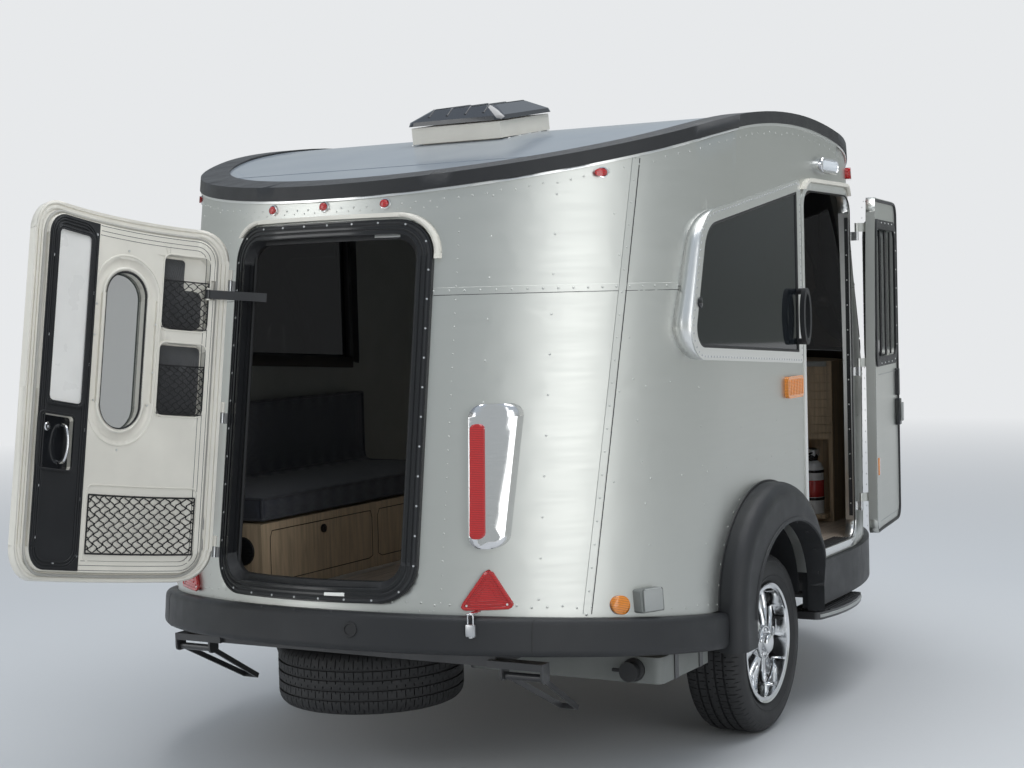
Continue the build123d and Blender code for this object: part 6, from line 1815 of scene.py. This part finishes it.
def dress_tongue():
    """The coupler's latch, the jack's crank, and the gas bottles' fittings and pipes."""
    steel, black, brass = bmesh.new(), bmesh.new(), bmesh.new()
    # Coupler: latch lever with a grip, and cross bolts
    low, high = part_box("coupler")
    tip = Vector((high.x - 0.115, 0, high.z))
    block(
        steel, tip + Vector((-0.010, 0, 0.010)), (0.120, 0.030, 0.008), Matrix.Rotation(-0.16, 4, "Y"), 0.002
    )
    tube(black, [tip + Vector((-0.075, 0, 0.004)), tip + Vector((-0.160, 0, 0.022))], 0.012, 14)
    for x in (0.17, 0.10):
        for hand in (-1, 1):
            spot = Vector((low.x + x, hand * (high.y - 0.001), (low.z + high.z) / 2))
            lathe(
                steel, spot, (0, hand, 0),
                [(0.012, 0), (0.012, 0.009), (0.007, 0.010), (0.007, 0.018), (0, 0.019)], 6
            )
    # Jack: gear head cap and a crank that folds to the side
    low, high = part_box("jack_post")
    head = Vector(((low.x + high.x) / 2, 0, high.z))
    lathe(black, head, UP, [(0.034, -0.004), (0.034, 0.012), (0.028, 0.018), (0, 0.020)], 28)
    crank = [(0, -0.05), (-0.055, -0.05), (-0.060, -0.05 - 0.005), (-0.060, -0.185)]
    tube(steel, resample([head + Vector((0, y, z)) for y, z in crank], 0.01), 0.0065, 12)
    tube(black, [head + Vector((0, y, -0.185)) for y in (-0.060, -0.130)], 0.012, 14)
    # Gas bottles: weld rings, handwheels, pipes, regulator and band
    straps = bmesh.new()
    for hand in (-1, 1):
        centre = at(2.440, hand * 0.163, 0)
        for z in (0.580, 0.852):
            lathe(
                straps, centre + UP * z, UP,
                [(0.1555, -0.004), (0.1575, -0.002), (0.1575, 0.002), (0.1555, 0.004)], 64
            )
        lathe(
            black, centre + UP * 0.945, UP,
            [(0.010, 0), (0.028, 0.004), (0.030, 0.010), (0.026, 0.016), (0.012, 0.018), (0, 0.016)], 24
        )
        lathe(
            brass, centre + UP * 0.900, UP, [(0.0235, 0), (0.0235, 0.014), (0.018, 0.018), (0.014, 0.046)], 6
        )
        pipe = [(0, 0.02, 0.918), (0.01, 0.06, 0.925), (0.025, 0.11, 0.945)]
        path = [centre + Vector((x, -hand * y, z)) for x, y, z in pipe]
        path.append(Vector((centre.x + 0.03, hand * 0.018, GROUND + 0.955)))
        tube(black, resample(path, 0.01), 0.0055, 10)
    lathe(
        brass, at(2.470, 0, 0.935), UP,
        [(0, 0), (0.030, 0.002), (0.034, 0.012), (0.034, 0.026), (0.020, 0.034), (0, 0.036)], 32
    )
    band = []
    for k in range(80):
        angle = 2 * math.pi * k / 80
        y = math.copysign(0.163, math.sin(angle)) + 0.159 * math.sin(angle)
        x = 2.440 + 0.159 * math.cos(angle)
        band.append((at(x, y, 0.740), Vector((math.cos(angle), math.sin(angle), 0))))
    sweep(straps, band, strip(0.018, 0.002), closed=True)
    piece("gas_bottle_bands", straps, "zinc_steel")
    piece("tongue_steel", steel, "zinc_steel", crisp=45)
    piece("tongue_black_parts", black, "rubber", crisp=45)
    piece("gas_regulator", brass, "lamp_chrome", crisp=45)


def dress_underside():
    """The step's mat and lip, the tank's valve and ribs, chassis bolts and the wiring."""
    bolts, black, steel = bmesh.new(), bmesh.new(), bmesh.new()
    # Step: ribbed mat and light front lip
    tread = Skin(["entry_step"])
    for k in range(9):
        y = -0.985 - 0.0155 * k
        row = [tread.hit(at(0.445 + 0.012 * i, y, 0.6), (0, 0, -1), 0.5) for i in range(41)]
        sweep_hits(black, row, strip(0.0045, 0.004))
    lip = []
    for i in range(54):
        x = 0.430 + 0.0097 * i
        hit = tread.hit(at(x, -1.35, 0.367), (0, 1, 0), 0.5)
        lip.append(hit)
    edge = bmesh.new()
    sweep_hits(edge, lip, strip(0.006, 0.003))
    piece("step_mat", black, "rubber", "entry_step")
    piece("step_lip", edge, "grey_plastic", "entry_step")
    # Grey tank: black valve with its lever, and ribs below
    low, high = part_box("grey_tank")
    valve = bmesh.new()
    spot = Vector((low.x, low.y + 0.10, (low.z + high.z) / 2))
    lathe(
        valve, spot, (-1, 0, 0),
        [
            (0.040, -0.002), (0.040, 0.010), (0.030, 0.014), (0.030, 0.040), (0.034, 0.042), (0.034, 0.050),
            (0, 0.052)
        ],
        32
    )
    block(valve, spot + Vector((-0.028, 0.045, 0.0)), (0.010, 0.050, 0.012), None, 0.003)
    for k in range(4):
        x = low.x + (high.x - low.x) * (k + 0.5) / 4
        block(
            valve, Vector((x, (low.y + high.y) / 2, low.z - 0.001)), (0.012, (high.y - low.y) * 0.8, 0.004),
            None, 0.0015, 1
        )
    piece("tank_valve", valve, "rubber")
    # Chassis bolts, and the wiring loom clipped to the rail
    chassis = Skin(["chassis_frame"])
    for hand in (-1, 1):
        for k in range(16):
            x = -1.15 + 0.16 * k
            hit = chassis.hit(at(x, hand * 1.2, 0.50), (0, -hand, 0), 1.0)
            if hit:
                lathe(
                    bolts, hit[0], hit[1],
                    [(0.011, -0.001), (0.011, 0.003), (0.008, 0.003), (0.008, 0.010), (0, 0.011)], 6
                )
    piece("chassis_bolts", bolts, "zinc_steel", crisp=30)
    loom = []
    for k in range(80):
        x = -1.10 + 0.03 * k
        hit = chassis.hit(at(x, 0.25, 0.50), (0, 1, 0), 0.6)
        if hit:
            loom.append(hit[0] + hit[1] * 0.010 + UP * 0.006 * math.sin(0.9 * k))
    tube(steel, resample(loom, 0.02), 0.008, 8)
    piece("wiring_loom", steel, "rubber")


def dress_grab_handle():
    """Screws in the grab handle's feet."""
    handle = Skin(["grab_handle"])
    heads = bmesh.new()
    low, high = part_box("grab_handle")
    for z in (low.z + 0.018, high.z - 0.018):
        hit = handle.hit(Vector(((low.x + high.x) / 2, low.y - 0.3, z)), (0, 1, 0), 1.0)
        if hit:
            screw(heads, *hit, radius=0.006)
    piece("grab_handle_screws", heads, "chassis_steel", crisp=60)


def paint_faces(name, material, chosen):
    """Gives a second material to the faces of a CAD node that a test picks by centre and normal."""
    node = NODES[name]
    node.data.materials.append(material)
    index = len(node.data.materials) - 1
    turn = node.matrix_world.to_3x3()
    for face in node.data.polygons:
        if chosen(node.matrix_world @ face.center, (turn @ face.normal).normalized()):
            face.material_index = index


def dress_surfaces():
    """The lining inside the walls and roof, and the hatch leaf's aluminium outer skin."""
    core = at(-0.1, 0, 1.3)

    def faces_cabin(centre, normal):
        toward = core - centre
        flat = Vector((toward.x * 0.55, toward.y, toward.z * 0.4))
        return normal.dot(flat.normalized()) > 0.35

    for name in ("rear_wall", "left_wall", "right_wall", "nose_lower"):
        paint_faces(name, EXTRA["wall_lining"], faces_cabin)
    paint_faces("roof_panel", EXTRA["panel_white"], lambda centre, normal: normal.z < -0.3)
    back = HATCH_SWING.inverted()

    def outer_skin(centre, normal):
        closed = back @ centre
        facing = (back.to_3x3() @ normal).normalized()
        point, out = rear_surface(closed.y, closed.z, 0.048)
        return facing.dot(out) > 0.8 and (closed - point).dot(out) > -0.001

    paint_faces("hatch_leaf", FINISHES["riveted_aluminium"], outer_skin)

    def latch_walls(centre, normal):
        closed = back @ centre
        point, out = rear_surface(closed.y, closed.z, 0.004)
        low_y, low_z, high_y, high_z = LATCH_BOX
        inside = low_y - 0.002 < closed.y < high_y + 0.002 and low_z - 0.002 < closed.z < high_z + 0.002
        return inside and 0.002 < (closed - point).dot(out) < 0.030

    paint_faces("hatch_leaf", EXTRA["gloss_black"], latch_walls)


make_camera()
make_stage()
dress_nodes()
dress_surfaces()
rivet_walls()
dress_windows()
dress_hatch_frame()
dress_hatch_leaf()
dress_side_door()
dress_doorway()
dress_wheels()
dress_lamps()
dress_flares_and_bumper()
dress_interior()
dress_cushions()
dress_roof()
dress_nose()
dress_tongue()
dress_underside()
dress_grab_handle()

bpy.context.scene.view_settings.view_transform = "Standard"
